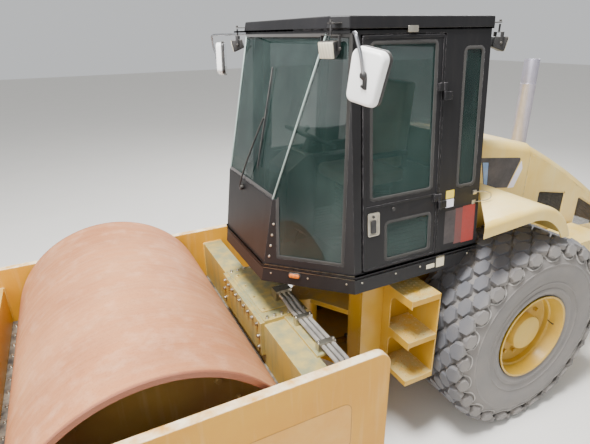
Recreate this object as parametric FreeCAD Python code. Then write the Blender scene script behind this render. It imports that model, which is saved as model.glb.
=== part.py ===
import FreeCAD, Part
import math
import os

# Single-drum road roller with a cab: a drum in a front frame, hinged behind it to a
# rear frame that carries the cab, the engine hood and two tyres.
# Millimetres. +X points ahead, to the drum, +Y to the left and +Z up. The origin is on
# the ground, under the middle of the whole machine.

Vector = FreeCAD.Vector

# Main lengths along the machine
REAR_OVERHANG = 1720.0
WHEELBASE = 2793.0
FRONT_OVERHANG = 992.0
WIDTH = 2300.0
HEIGHT = 3070.0
PIVOT_TO_AXLE = 1450.0

# Drum
DRUM_RADIUS = 767.0
DRUM_TO_PLATE = 25.0
DRUM_WALL = 40.0
DRUM_HEAD_INSET = 300.0
DRUM_HEAD_WALL = 30.0
DRUM_HUB_RADIUS = 190.0
DRUM_HUB_LENGTH = 110.0
DRUM_SHAFT_RADIUS = 80.0

# Front frame
SIDE_PLATE_WALL = 60.0
SIDE_PLATE_TOP = 1280.0
SIDE_PLATE_BOTTOM = 460.0
SIDE_PLATE_BEHIND_PIVOT = -20.0
SIDE_PLATE_CORNER = 90.0
REAR_BEAM_DEPTH = 170.0
REAR_BEAM_TOP = 1150.0
REAR_BEAM_BOTTOM = 600.0
REAR_BEAM_TO_DRUM = 66.0
FRONT_BEAM_TO_DRUM = 60.0
FRONT_BEAM_TOP = 1120.0
FRONT_BEAM_BOTTOM = 640.0
BEAM_WALL = 20.0
SCRAPER_HEIGHT = 90.0
SCRAPER_GAP = 10.0
CARRIER_PLATE_RADIUS = 420.0
CARRIER_PLATE_WALL = 30.0
CARRIER_MOUNT_RADIUS = 55.0
CARRIER_MOUNT_CIRCLE = 330.0
CARRIER_MOUNT_LENGTH = 70.0
CARRIER_MOUNT_COUNT = 6
LASHING_RADIUS = 30.0
LASHING_EDGE = 110.0

# Hoses over the rear beam
HOSE_RADIUS = 14.0
HOSE_COUNT = 3
HOSE_SPACING = 35.0
HOSE_HEIGHT = 1205.0
HOSE_BEND = 110.0
HOSE_DROP = 285.0
HOSE_TO_PLATE = 60.0
SHELF_WALL = 20.0
SHELF_TO_HOSE = 35.0
SHELF_EDGE = 20.0
CLAMP_WIDTH = 40.0
CLAMP_TO_HOUSING = 120.0
CLAMP_TO_DROP = 200.0
HOSE_BLOCK_PLACE = 180.0

# Hitch
HITCH_HEIGHT = 785.0
HITCH_HOUSING_HALF = 400.0
HITCH_HOUSING_TOP = 1180.0
HITCH_HOUSING_BEHIND = 165.0
HITCH_FLANGE_WALL = 30.0
HITCH_FLANGE_FOOT = 300.0
HITCH_FLANGE_DROP = 10.0
HITCH_BARREL_RADIUS = 105.0
HITCH_PIN_RADIUS = 45.0
TRUNNION_RADIUS = 90.0
EAR_WALL = 40.0
EAR_END_RADIUS = 120.0
EAR_SPACING = 460.0
CYLINDER_TO_BULKHEAD = 30.0
LUG_WALL = 20.0
JOINT_GAP = 6.0
PIN_CLEARANCE = 0.05

# Steering cylinders
CYLINDER_HEIGHT = 690.0
CYLINDER_TAIL_TO_PIVOT = 670.0
CYLINDER_TO_FRAME = 65.0
CYLINDER_ARM = 240.0
CYLINDER_RADIUS = 45.0
CYLINDER_ROD_RADIUS = 25.0
CYLINDER_EYE_RADIUS = 42.0
CYLINDER_EYE_WIDTH = 50.0
CYLINDER_PIN_RADIUS = 20.0
CYLINDER_BARREL_LENGTH = 430.0
CYLINDER_ROD_INSERTION = 195.0

# Tyres and rims
TYRE_RADIUS = 797.0
TYRE_WIDTH = 587.0
TYRE_TRACK = 1556.0
LUG_HEIGHT = 38.0
LUG_ROWS = 3
LUGS_AROUND = 28
LUG_FACE = 150.0
LUG_GAP = 29.0
RIM_FLANGE_RADIUS = 352.0
RIM_BARREL_RADIUS = 322.0
RIM_WIDTH = 540.0
RIM_WALL = 12.0
RIM_DISC_INSET = 150.0
RIM_DISC_WALL = 22.0
HUB_RADIUS = 150.0
HUB_PROUD = 70.0
SPINDLE_RADIUS = 60.0
AXLE_TUBE_RADIUS = 95.0
AXLE_BOWL_RADIUS = 190.0
AXLE_PAD_HALF = 110.0

# Rear frame
FRAME_TO_TYRE = 64.5
FRAME_WALL = 25.0
FRAME_BOTTOM = 640.0
FRAME_OVER_AXLE = 935.0
FRAME_TOP = 1240.0
TAIL_TO_HOOD = 60.0
FRAME_FRONT_OUT = 150.0
FRAME_FRONT_TO_PIVOT = 170.0
DECK_TOP = 1400.0
DECK_WALL = 20.0
DECK_TO_CAB_REAR = 60.0
STEP_REACH = 310.0
STEP_FRONT_TO_PIVOT = 350.0
STEP_DEPTH = 250.0
STEP_WALL = 8.0
STEP_TOP = 1345.0
STEP_RISE = 330.0
STEP_COUNT = 3
STEP_LIP = 45.0
BUMPER_DEPTH = 150.0
BUMPER_HALF = 620.0
BUMPER_TOP = 1020.0
BUMPER_BOTTOM = 660.0
BOX_OUTER = 800.0
BOX_TOP = 1330.0
BOX_REAR_TOP = 1130.0
BOX_BOTTOM = 720.0
BOX_LEDGE = 1130.0
BOX_TO_HOOD = 20.0
BOX_LENGTH = 880.0
BOX_SLOPE = 440.0
BOX_CORNER = 30.0
TYRE_TO_BOX = 70.0

# Cab
CAB_REAR_TO_AXLE = 500.0
CAB_SIDE_LENGTH = 1005.0
CAB_NOSE_LENGTH = 445.0
CAB_HALF = 803.0
CAB_NOSE_HALF = 360.0
CAB_LEAN = 0.079
CAB_BOTTOM = 1476.0
CAB_SILL = 1607.0
CAB_BELT = 2035.0
CAB_ROOF_WALL = 65.0
CAB_WALL = 45.0
CAB_FLOOR_WALL = 20.0
CAB_ROOF_OVERHANG = 12.0
BELT_SETBACK = 79.0
ROOF_SETBACK = 264.0
CAB_CHAMFER = 143.0
DOOR_FRONT_TO_POST = 60.0
DOOR_WIDTH = 580.0
DOOR_GAP = 5.0
DOOR_SWING_GAP = 11.0
DOOR_HEAD = 30.0
DOOR_STILE = 50.0
HINGE_OUT = 16.0
HINGE_RADIUS = 11.0
HINGE_PIN_RADIUS = 6.0
HINGE_LENGTH = 100.0
GLASS_WALL = 6.0
GLASS_INSET = 8.0
GLASS_EDGE = 0.4
POST_WIDTH = 78.0
CORNER_PANE_END = 520.0
CORNER_PANE_SILL = 48.0
HINGE_TO_BELT = 60.0
HINGE_TO_DOOR_TOP = 320.0
MOUNT_RADIUS = 60.0
MOUNT_TO_CAB_END = 270.0
MOUNT_TO_DECK_EDGE = 110.0
SEAT_TO_REAR = 430.0
SEAT_DEPTH = 490.0
SEAT_MIDDLE = 220.0
SEAT_HALF = 245.0
SEAT_BASE_HEIGHT = 330.0
SEAT_BASE_LENGTH = 340.0
SEAT_BASE_HALF = 190.0
SEAT_CUSHION = 110.0
SEAT_BACK_HEIGHT = 620.0
SEAT_BACK_WALL = 110.0
SEAT_BACK_RAKE = 60.0
SEAT_BACK_SIDE = 10.0
SEAT_EDGE = 30.0
SEAT_GAP = 0.3
CONSOLE_HALF = 160.0
CONSOLE_LENGTH = 240.0
CONSOLE_HEIGHT = 640.0
CONSOLE_SLOPE = 120.0
CONSOLE_KNEE = 80.0
CONSOLE_OVERHANG = 20.0
CONSOLE_TAPER = 40.0
WHEEL_RADIUS = 185.0
WHEEL_GRIP_RADIUS = 14.0
WHEEL_COLUMN_RADIUS = 26.0
WHEEL_COLUMN_LENGTH = 130.0
WHEEL_SPOKE_WIDTH = 30.0
WHEEL_SPOKE_WALL = 14.0
WHEEL_TO_CONSOLE = 60.0
WHEEL_TILT = 27.0
LAMP_HALF = 52.0
LAMP_HEIGHT = 92.0
LAMP_DROP = 45.0
LAMP_BRACKET = 12.0
FRONT_LAMP_TO_POST = 135.0
FRONT_LAMP_PLACE = 690.0
REAR_LAMP_TO_CAB = 100.0
REAR_LAMP_PLACE = 650.0
MIRROR_WIDTH = 190.0
MIRROR_DEPTH = 75.0
MIRROR_HEIGHT = 255.0
MIRROR_TO_POST = 154.0
MIRROR_TO_ROOF = 205.0
MIRROR_ARM_RISE = 60.0
MIRROR_ARM_INSET = 30.0
MIRROR_TUBE_RADIUS = 10.0

# Hood
HOOD_OVER_FRAME = 35.0
HOOD_WALL = 10.0
HOOD_BOTTOM = 1170.0
HOOD_SEAM_TO_AXLE = 385.0
HOOD_SEAM_TOP = 2130.0
HOOD_MIDDLE_TOP = 1840.0
HOOD_TAIL_TOP = 1490.0
HOOD_TAIL_SETBACK = 200.0
HOOD_REAR_GAP = 15.0
HOOD_SHOULDER = 70.0
HOOD_HINGE_SETBACK = 110.0
HOOD_HINGE_DROP = 40.0
HOOD_HINGE_TO_FRAME = 90.0
HOOD_PIN_RADIUS = 12.0
HOOD_ARM_WALL = 12.0
HOOD_ARM_RISE = 60.0
HOOD_BRACKET_REAR = 25.0
HOOD_BRACKET_DROP = 90.0
HOOD_BRACKET_RISE = 22.0
OPENING_TO_SEAM = 190.0
OPENING_LENGTH = 370.0
OPENING_GAP = 200.0
REAR_OPENING_LENGTH = 330.0
OPENING_FOOT = 240.0
OPENING_FOOT_DROP = 100.0
OPENING_HEIGHT = 310.0
OPENING_TOP_DROP = 70.0
REAR_OPENING_FOOT = 90.0
REAR_OPENING_FOOT_DROP = 30.0
REAR_OPENING_HEIGHT = 320.0
REAR_OPENING_TOP_DROP = 175.0
OPENING_CORNER = 30.0
GRILLE_PITCH = 75.0
GRILLE_SLOT = 18.0
GRILLE_MARGIN = 40.0
COWL_TOP = 2290.0
COWL_TO_CAB = 60.0
EXHAUST_RADIUS = 65.0
EXHAUST_TO_AXLE = 800.0
EXHAUST_TOP = 2750.0
ENGINE_LENGTH = 800.0
ENGINE_TO_FRAME = 95.0
ENGINE_TOP = 1600.0
ENGINE_OVER_AXLE_ARCH = 40.0
ENGINE_FOOT = 60.0

# Fenders
FENDER_TO_TYRE_FACE = 26.5
FENDER_SHOULDER = 36.0
FENDER_TOP = 1910.0
FENDER_WALL = 14.0
FENDER_LIP = 95.0
FENDER_BEND = 470.0
FENDER_BEND_TO_AXLE = 260.0
FENDER_FRONT_TO_AXLE = 760.0
FENDER_FRONT_DROP = 32.0
TYRE_TO_FENDER = 35.0
FENDER_TO_CAB = 10.0

# Places that follow from the sizes
LENGTH = REAR_OVERHANG + WHEELBASE + FRONT_OVERHANG
REAR_END = -LENGTH / 2
FRONT_END = LENGTH / 2
AXLE_X = REAR_END + REAR_OVERHANG
DRUM_X = AXLE_X + WHEELBASE
PIVOT_X = AXLE_X + PIVOT_TO_AXLE
AXLE_Z = TYRE_RADIUS
DRUM_Z = DRUM_RADIUS
PLATE_OUTER = WIDTH / 2
PLATE_INNER = PLATE_OUTER - SIDE_PLATE_WALL
DRUM_WIDTH = 2 * (PLATE_INNER - DRUM_TO_PLATE)
HOSE_DROP_PLACE = PLATE_INNER - HOSE_TO_PLATE
CLAMP_PLACES = (HITCH_HOUSING_HALF + CLAMP_TO_HOUSING, HOSE_DROP_PLACE - CLAMP_TO_DROP)
TYRE_INNER = (TYRE_TRACK - TYRE_WIDTH) / 2
FRAME_HALF = TYRE_INNER - FRAME_TO_TYRE
FRAME_INNER = FRAME_HALF - FRAME_WALL
FRAME_FRONT_HALF = FRAME_HALF + FRAME_FRONT_OUT
STEP_OUTER = FRAME_FRONT_HALF + STEP_REACH
CYLINDER_TAIL_SIDE = FRAME_INNER - CYLINDER_TO_FRAME
HOOD_HALF = FRAME_HALF + HOOD_OVER_FRAME
HOOD_HINGE_SIDE = FRAME_HALF - HOOD_HINGE_TO_FRAME
ENGINE_HALF = FRAME_INNER - ENGINE_TO_FRAME
FENDER_OUTER = TYRE_INNER + TYRE_WIDTH - FENDER_TO_TYRE_FACE
BEAM_FRONT = DRUM_X - DRUM_RADIUS - REAR_BEAM_TO_DRUM
BEAM_REAR = BEAM_FRONT - REAR_BEAM_DEPTH
CAB_REAR = AXLE_X + CAB_REAR_TO_AXLE
CAB_POST = CAB_REAR + CAB_SIDE_LENGTH
CAB_NOSE = CAB_POST + CAB_NOSE_LENGTH
CAB_WALL_TOP = HEIGHT - CAB_ROOF_WALL
MIRROR_MIDDLE = CAB_WALL_TOP - MIRROR_TO_ROOF
SEAT_BASE_TOP = CAB_SILL + SEAT_BASE_HEIGHT
HOOD_HINGE_X = REAR_END + HOOD_HINGE_SETBACK
HOOD_HINGE_Z = HOOD_BOTTOM - HOOD_HINGE_DROP
ENGINE_REAR = AXLE_X - HOOD_SEAM_TO_AXLE - ENGINE_LENGTH
ENGINE_BOTTOM = FRAME_OVER_AXLE + ENGINE_OVER_AXLE_ARCH
FAR = 2 * LENGTH


# Shapes

def box(x, y, z):
    """A block from three pairs of low and high limits."""
    size = [high - low for low, high in (x, y, z)]
    return Part.makeBox(*size, Vector(x[0], y[0], z[0]))


def rod(radius, start, end):
    """A round bar between two points."""
    start, end = Vector(*start), Vector(*end)
    return Part.makeCylinder(radius, (end - start).Length, start, end - start)


def pipe(outer, inner, start, end):
    """A round tube between two points."""
    return rod(outer, start, end).cut(rod(inner, start, end))


def loop(corners, place):
    """A closed wire through corners (a, b, radius), rounded where the radius isn't 0."""
    count = len(corners)
    stops = []
    for index, (a, b, radius) in enumerate(corners):
        here = Vector(a, b, 0)
        before = Vector(*corners[index - 1][:2], 0) - here
        after = Vector(*corners[(index + 1) % count][:2], 0) - here
        if radius == 0:
            stops.append((here, here, here))
            continue
        turn = math.pi - before.getAngle(after)
        reach = radius * math.tan(turn / 2)
        before.normalize()
        after.normalize()
        inward = before + after
        inward.normalize()
        middle = here + inward * (radius / math.cos(turn / 2) - radius)
        stops.append((here + before * reach, middle, here + after * reach))
    edges = []
    for index, (start, middle, end) in enumerate(stops):
        start, middle, end = place(start), place(middle), place(end)
        if not start.isEqual(end, 1e-6):
            edges.append(Part.Arc(start, middle, end).toShape())
        following = place(stops[(index + 1) % count][0])
        if not end.isEqual(following, 1e-6):
            edges.append(Part.LineSegment(end, following).toShape())
    return Part.Wire(edges)


def sheet_xz(corners, low, high):
    """A plate whose outline (x, z, radius) is seen from the side, from y low to y high."""
    face = Part.Face(loop(corners, lambda p: Vector(p.x, low, p.y)))
    return face.extrude(Vector(0, high - low, 0))


def sheet_xy(corners, low, high):
    """A plate whose outline (x, y, radius) is seen from above, from z low to z high."""
    face = Part.Face(loop(corners, lambda p: Vector(p.x, p.y, low)))
    return face.extrude(Vector(0, 0, high - low))


def sheet_yz(corners, low, high):
    """A plate whose outline (y, z, radius) is seen from ahead, from x low to x high."""
    face = Part.Face(loop(corners, lambda p: Vector(low, p.x, p.y)))
    return face.extrude(Vector(high - low, 0, 0))


def window(low, high, radius):
    """The corners of a rounded rectangle between two points (a, b)."""
    return [(low[0], low[1], radius), (high[0], low[1], radius),
            (high[0], high[1], radius), (low[0], high[1], radius)]


def turned(profile, x, z):
    """A body of revolution about a line along Y: profile holds (y, radius) pairs."""
    points = [Vector(x, y, z + radius) for y, radius in profile]
    face = Part.Face(Part.makePolygon(points + points[:1]))
    return face.revolve(Vector(x, 0, z), Vector(0, 1, 0), 360)


def tube(route, radius):
    """A round bar along corners ((x, y, z), bend): straight runs joined by tangent arcs."""
    points = [Vector(*point) for point, bend in route]
    bends = [bend for point, bend in route]
    edges = []
    start = points[0]
    for index in range(1, len(points) - 1):
        here = points[index]
        back = (points[index - 1] - here).normalize()
        ahead = (points[index + 1] - here).normalize()
        turn = math.pi - back.getAngle(ahead)
        reach = bends[index] * math.tan(turn / 2)
        inward = (back + ahead).normalize()
        middle = here + inward * (bends[index] / math.cos(turn / 2) - bends[index])
        edges.append(Part.LineSegment(start, here + back * reach).toShape())
        edges.append(Part.Arc(here + back * reach, middle, here + ahead * reach).toShape())
        start = here + ahead * reach
    edges.append(Part.LineSegment(start, points[-1]).toShape())
    along = points[1] - points[0]
    ring = Part.Wire(Part.makeCircle(radius, points[0], along))
    return Part.Wire(edges).makePipeShell([ring], True, True)


def mirrored(shape):
    """The same shape on the other side of the machine."""
    return shape.mirror(Vector(0, 0, 0), Vector(0, 1, 0))


def both(shape):
    """A shape with its mirror image."""
    return [shape, mirrored(shape)]


def fuse(shapes):
    """One shape from several that meet."""
    shapes = list(shapes)
    return shapes[0].multiFuse(shapes[1:]).removeSplitter()


def cut(shape, tools):
    """A shape less several tools."""
    for tool in tools:
        shape = shape.cut(tool)
    return shape


def outside(plane, inset=0.0):
    """All that lies outside a plane (point, outward normal) set in by a distance."""
    point, normal = plane
    corner = Part.makeBox(2 * FAR, 2 * FAR, 2 * FAR, Vector(-FAR, -FAR, 0))
    corner.Placement = FreeCAD.Placement(point - normal * inset,
                                         FreeCAD.Rotation(Vector(0, 0, 1), normal))
    return corner


def clip(shape, planes, inset=0.0):
    """What lies inside all the planes, each set in by the same distance."""
    for plane in planes:
        shape = shape.cut(outside(plane, inset))
    return shape


def flipped(plane, inset=0.0):
    """A plane that keeps what the other one removes."""
    point, normal = plane
    return (point - normal * inset, normal * -1.0)


def plane_through(first, second, third):
    """A plane through three points, its normal on the side of first x second x third."""
    normal = (second - first).cross(third - first)
    normal.normalize()
    return (first, normal)


# Drum

def drum_side(y):
    """The end faces of the drum stand at plus and minus this."""
    return DRUM_WIDTH / 2 - y


def drum_shell():
    return pipe(DRUM_RADIUS, DRUM_RADIUS - DRUM_WALL,
                (DRUM_X, -DRUM_WIDTH / 2, DRUM_Z), (DRUM_X, DRUM_WIDTH / 2, DRUM_Z))


def drum_heads():
    """A disc with a hub near each end, set inside the shell."""
    heads = []
    bore = DRUM_SHAFT_RADIUS + PIN_CLEARANCE
    outer = drum_side(DRUM_HEAD_INSET)
    inner = outer - DRUM_HEAD_WALL
    rim = DRUM_RADIUS - DRUM_WALL
    for side in (1, -1):
        disc = pipe(rim, bore, (DRUM_X, side * inner, DRUM_Z), (DRUM_X, side * outer, DRUM_Z))
        hub = pipe(DRUM_HUB_RADIUS, bore, (DRUM_X, side * (inner - DRUM_HUB_LENGTH), DRUM_Z),
                   (DRUM_X, side * outer, DRUM_Z))
        heads.append(disc.fuse(hub).removeSplitter())
    return heads


def drum_carrier(side):
    """The plate, rubber mounts and shaft that hold one end of the drum."""
    y_plate = PLATE_INNER - CARRIER_MOUNT_LENGTH
    y_inner = y_plate - CARRIER_PLATE_WALL
    y_shaft = drum_side(DRUM_HEAD_INSET) - DRUM_HEAD_WALL - DRUM_HUB_LENGTH
    pieces = [rod(CARRIER_PLATE_RADIUS, (DRUM_X, side * y_inner, DRUM_Z),
                  (DRUM_X, side * y_plate, DRUM_Z)),
              rod(DRUM_SHAFT_RADIUS, (DRUM_X, side * y_shaft, DRUM_Z),
                  (DRUM_X, side * y_inner, DRUM_Z)),
              rod(DRUM_HUB_RADIUS, (DRUM_X, side * (drum_side(DRUM_HEAD_INSET) + JOINT_GAP), DRUM_Z),
                  (DRUM_X, side * y_inner, DRUM_Z))]
    return fuse(pieces)


def carrier_mounts(side):
    """Rubber mounts between the carrier plate and the side plate."""
    y_plate = PLATE_INNER - CARRIER_MOUNT_LENGTH
    mounts = []
    for index in range(CARRIER_MOUNT_COUNT):
        angle = 2 * math.pi * (index + 0.5) / CARRIER_MOUNT_COUNT
        x = DRUM_X + CARRIER_MOUNT_CIRCLE * math.cos(angle)
        z = DRUM_Z + CARRIER_MOUNT_CIRCLE * math.sin(angle)
        mounts.append(rod(CARRIER_MOUNT_RADIUS, (x, side * y_plate, z), (x, side * PLATE_INNER, z)))
    return mounts


# Front frame

def side_plate(side):
    rear = PIVOT_X - SIDE_PLATE_BEHIND_PIVOT
    top_rear = SIDE_PLATE_CORNER
    outline = [(rear, SIDE_PLATE_BOTTOM, top_rear), (FRONT_END, SIDE_PLATE_BOTTOM, top_rear),
               (FRONT_END, SIDE_PLATE_TOP, top_rear), (rear, SIDE_PLATE_TOP, top_rear)]
    low, high = sorted((side * PLATE_INNER, side * PLATE_OUTER))
    x, z = FRONT_END - LASHING_EDGE, SIDE_PLATE_TOP - LASHING_EDGE
    return sheet_xz(outline, low, high).cut(rod(LASHING_RADIUS, (x, low, z), (x, high, z)))


def hollow_beam(rear, front, bottom, top):
    """A welded box across the machine between the side plates, open at its ends."""
    outer = box((rear, front), (-PLATE_INNER, PLATE_INNER), (bottom, top))
    inner = box((rear + BEAM_WALL, front - BEAM_WALL), (-PLATE_INNER, PLATE_INNER),
                (bottom + BEAM_WALL, top - BEAM_WALL))
    return outer.cut(inner)


def front_beam():
    return hollow_beam(DRUM_X + DRUM_RADIUS + FRONT_BEAM_TO_DRUM, FRONT_END,
                       FRONT_BEAM_BOTTOM, FRONT_BEAM_TOP)


def rear_beam():
    """The cross beam behind the drum, with the bearing housing of the hitch welded in."""
    beam = hollow_beam(BEAM_REAR, BEAM_FRONT, REAR_BEAM_BOTTOM, REAR_BEAM_TOP)
    housing = box((BEAM_REAR - HITCH_HOUSING_BEHIND, BEAM_FRONT),
                  (-HITCH_HOUSING_HALF, HITCH_HOUSING_HALF),
                  (REAR_BEAM_BOTTOM, HITCH_HOUSING_TOP))
    flange = box((BEAM_FRONT, BEAM_FRONT + HITCH_FLANGE_WALL),
                 (-HITCH_HOUSING_HALF, HITCH_HOUSING_HALF),
                 (REAR_BEAM_BOTTOM + HITCH_FLANGE_FOOT, HITCH_HOUSING_TOP - HITCH_FLANGE_DROP))
    bore = rod(TRUNNION_RADIUS + PIN_CLEARANCE,
               (BEAM_REAR - HITCH_HOUSING_BEHIND, 0, HITCH_HEIGHT),
               (BEAM_FRONT - BEAM_WALL, 0, HITCH_HEIGHT))
    lines = hose_lines()
    shelf = box((lines[0] - SHELF_EDGE, BEAM_REAR), (HITCH_HOUSING_HALF, CLAMP_PLACES[-1] + CLAMP_WIDTH),
                (HOSE_HEIGHT - SHELF_TO_HOSE - SHELF_WALL, HOSE_HEIGHT - SHELF_TO_HOSE))
    rib = box((BEAM_REAR, BEAM_REAR + BEAM_WALL), (HITCH_HOUSING_HALF, CLAMP_PLACES[-1] + CLAMP_WIDTH),
              (REAR_BEAM_TOP, HOSE_HEIGHT - SHELF_TO_HOSE))
    return fuse([beam, housing, flange, shelf, rib]).cut(bore)


def hose_lines():
    """The distance ahead of each hose, side by side behind the rear beam."""
    first = BEAM_REAR - HOSE_SPACING - HOSE_SPACING * (HOSE_COUNT - 1)
    return [first + HOSE_SPACING * index for index in range(HOSE_COUNT)]


def hose_route(x):
    """The corners of one hose and its bends: out of the block, over the shelf and down."""
    drop = HOSE_DROP_PLACE
    rise = HOSE_HEIGHT + 25
    return [((x, HOSE_BLOCK_PLACE + CLAMP_WIDTH, rise), 0),
            ((x, HITCH_HOUSING_HALF - 60, rise), 400), ((x, HITCH_HOUSING_HALF + 70, HOSE_HEIGHT), 400),
            ((x, drop, HOSE_HEIGHT), HOSE_BEND), ((x, drop, HOSE_HEIGHT - HOSE_DROP), 0)]


def drum_hoses():
    return [tube(hose_route(x), HOSE_RADIUS) for x in hose_lines()]


def hose_clamps():
    """Clamps on the shelf, the block where the hoses start and the block where they end."""
    lines = hose_lines()
    rear, front = lines[0] - SHELF_EDGE, BEAM_REAR
    pieces = []
    for y in CLAMP_PLACES:
        pieces.append(box((rear, front), (y - CLAMP_WIDTH / 2, y + CLAMP_WIDTH / 2),
                          (HOSE_HEIGHT - SHELF_TO_HOSE, HOSE_HEIGHT + HOSE_RADIUS + 10)))
    pieces.append(box((rear, front), (HOSE_BLOCK_PLACE - CLAMP_WIDTH, HOSE_BLOCK_PLACE + CLAMP_WIDTH),
                      (HITCH_HOUSING_TOP, HOSE_HEIGHT + 25 + HOSE_RADIUS + 20)))
    low = HOSE_HEIGHT - HOSE_DROP
    drop = HOSE_DROP_PLACE
    pieces.append(box((rear, front), (drop - CLAMP_WIDTH, drop + CLAMP_WIDTH),
                      (low - 60, low)))
    room = [rod(HOSE_RADIUS + 0.3, (x, CLAMP_PLACES[0] - CLAMP_WIDTH, HOSE_HEIGHT),
                (x, CLAMP_PLACES[1] + CLAMP_WIDTH, HOSE_HEIGHT)) for x in lines]
    return [cut(piece, room) for piece in pieces]


def scraper(rear, front):
    return box((rear, front), (-DRUM_WIDTH / 2, DRUM_WIDTH / 2),
               (DRUM_Z - SCRAPER_HEIGHT / 2, DRUM_Z + SCRAPER_HEIGHT / 2))


def scraper_rear():
    return scraper(BEAM_FRONT, DRUM_X - DRUM_RADIUS - SCRAPER_GAP)


def scraper_front():
    return scraper(DRUM_X + DRUM_RADIUS + SCRAPER_GAP, DRUM_X + DRUM_RADIUS + FRONT_BEAM_TO_DRUM)


# Hitch

def hitch_yoke():
    """The casting on the vertical pin, with the trunnion ahead and an arm to each cylinder."""
    half = EAR_SPACING / 2 - JOINT_GAP
    barrel = rod(HITCH_BARREL_RADIUS, (PIVOT_X, 0, HITCH_HEIGHT - half),
                 (PIVOT_X, 0, HITCH_HEIGHT + half))
    trunnion = rod(TRUNNION_RADIUS, (PIVOT_X, 0, HITCH_HEIGHT),
                   (BEAM_FRONT - BEAM_WALL - JOINT_GAP, 0, HITCH_HEIGHT))
    pieces = [barrel, trunnion]
    for level in (-1, 1):
        gap = CYLINDER_EYE_WIDTH / 2 + JOINT_GAP
        low = CYLINDER_HEIGHT + level * (gap + EAR_WALL / 4) - EAR_WALL / 4
        arm = box((PIVOT_X - CYLINDER_EYE_RADIUS, PIVOT_X + CYLINDER_EYE_RADIUS),
                  (-CYLINDER_ARM, CYLINDER_ARM), (low, low + EAR_WALL / 2))
        pieces.append(arm)
        for side in (1, -1):
            pieces.append(rod(CYLINDER_EYE_RADIUS, (PIVOT_X, side * CYLINDER_ARM, low),
                              (PIVOT_X, side * CYLINDER_ARM, low + EAR_WALL / 2)))
    bore = rod(HITCH_PIN_RADIUS + PIN_CLEARANCE, (PIVOT_X, 0, HITCH_HEIGHT - half),
               (PIVOT_X, 0, HITCH_HEIGHT + half))
    return fuse(pieces).cut(bore)


def cylinder_line(side):
    """The tail pin, the rod's eye and the direction between them."""
    tail = Vector(PIVOT_X - CYLINDER_TAIL_TO_PIVOT, side * CYLINDER_TAIL_SIDE, CYLINDER_HEIGHT)
    eye = Vector(PIVOT_X, side * CYLINDER_ARM, CYLINDER_HEIGHT)
    along = eye - tail
    along.normalize()
    return tail, eye, along


def steering_barrel(side):
    """The barrel with its tail eye, bored for the rod and the tail pin."""
    tail, eye, along = cylinder_line(side)
    half = Vector(0, 0, CYLINDER_EYE_WIDTH / 2)
    length = CYLINDER_BARREL_LENGTH
    start = CYLINDER_EYE_RADIUS * math.sqrt(2) + JOINT_GAP
    body = Part.makeCylinder(CYLINDER_RADIUS, length - start, tail + along * start, along)
    neck = Part.makeCylinder(CYLINDER_PIN_RADIUS, start + FRAME_WALL / 2, tail, along)
    knuckle = Part.makeCylinder(CYLINDER_EYE_RADIUS, CYLINDER_EYE_WIDTH, tail - half)
    solid = fuse([body, neck, knuckle])
    bore = Part.makeCylinder(CYLINDER_ROD_RADIUS + PIN_CLEARANCE, length, tail + along * (start + FRAME_WALL),
                             along)
    hole = Part.makeCylinder(CYLINDER_PIN_RADIUS + PIN_CLEARANCE, CYLINDER_EYE_WIDTH, tail - half)
    return solid.cut(bore).cut(hole)


def steering_rod(side):
    tail, eye, along = cylinder_line(side)
    half = Vector(0, 0, CYLINDER_EYE_WIDTH / 2)
    length = (eye - tail).Length - (CYLINDER_BARREL_LENGTH - CYLINDER_ROD_INSERTION)
    shaft = Part.makeCylinder(CYLINDER_ROD_RADIUS, length, eye, along * -1.0)
    knuckle = Part.makeCylinder(CYLINDER_EYE_RADIUS, CYLINDER_EYE_WIDTH, eye - half)
    return shaft.fuse(knuckle).removeSplitter()


# Wheels

def tyre(side):
    """A carcass of revolution with hexagonal lugs in staggered rows."""
    middle = side * TYRE_TRACK / 2
    tread = TYRE_RADIUS - LUG_HEIGHT
    half = TYRE_WIDTH / 2
    bead = RIM_BARREL_RADIUS + RIM_WALL + 0.3
    seat = RIM_WIDTH / 2 - RIM_WALL - 1
    steps = [(-seat, bead), (-seat, bead + 45), (-half, tread * 0.66), (-half, tread * 0.84),
             (-half + 45, tread - 12), (-half + 110, tread), (half - 110, tread),
             (half - 45, tread - 12), (half, tread * 0.84), (half, tread * 0.66),
             (seat, bead + 45), (seat, bead)]
    carcass = turned([(middle + y, radius) for y, radius in steps], AXLE_X, AXLE_Z)
    pitch = 2 * math.pi / LUGS_AROUND
    lugs = []
    for row in range(LUG_ROWS):
        across = (row - (LUG_ROWS - 1) / 2) * (LUG_FACE + LUG_GAP) * math.sqrt(3) / 2
        for index in range(LUGS_AROUND):
            angle = pitch * (index + 0.5 * (row % 2))
            lugs.append(lug(middle + across, angle))
    return carcass.multiFuse(lugs)


def lug(y, angle):
    """One six-sided block that stands on the carcass, at an angle from straight down."""
    corners = []
    for index in range(6):
        turn = math.pi * index / 3
        reach = LUG_FACE / math.sqrt(3)
        corners.append(Vector(AXLE_X + reach * math.sin(turn), y + reach * math.cos(turn), 0))
    face = Part.Face(Part.makePolygon(corners + corners[:1]))
    face.translate(Vector(0, 0, AXLE_Z - math.sqrt(TYRE_RADIUS ** 2 - (LUG_FACE / 2) ** 2)))
    block = face.extrude(Vector(0, 0, 2 * LUG_HEIGHT))
    block.rotate(Vector(AXLE_X, 0, AXLE_Z), Vector(0, 1, 0), math.degrees(angle))
    return block


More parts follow.
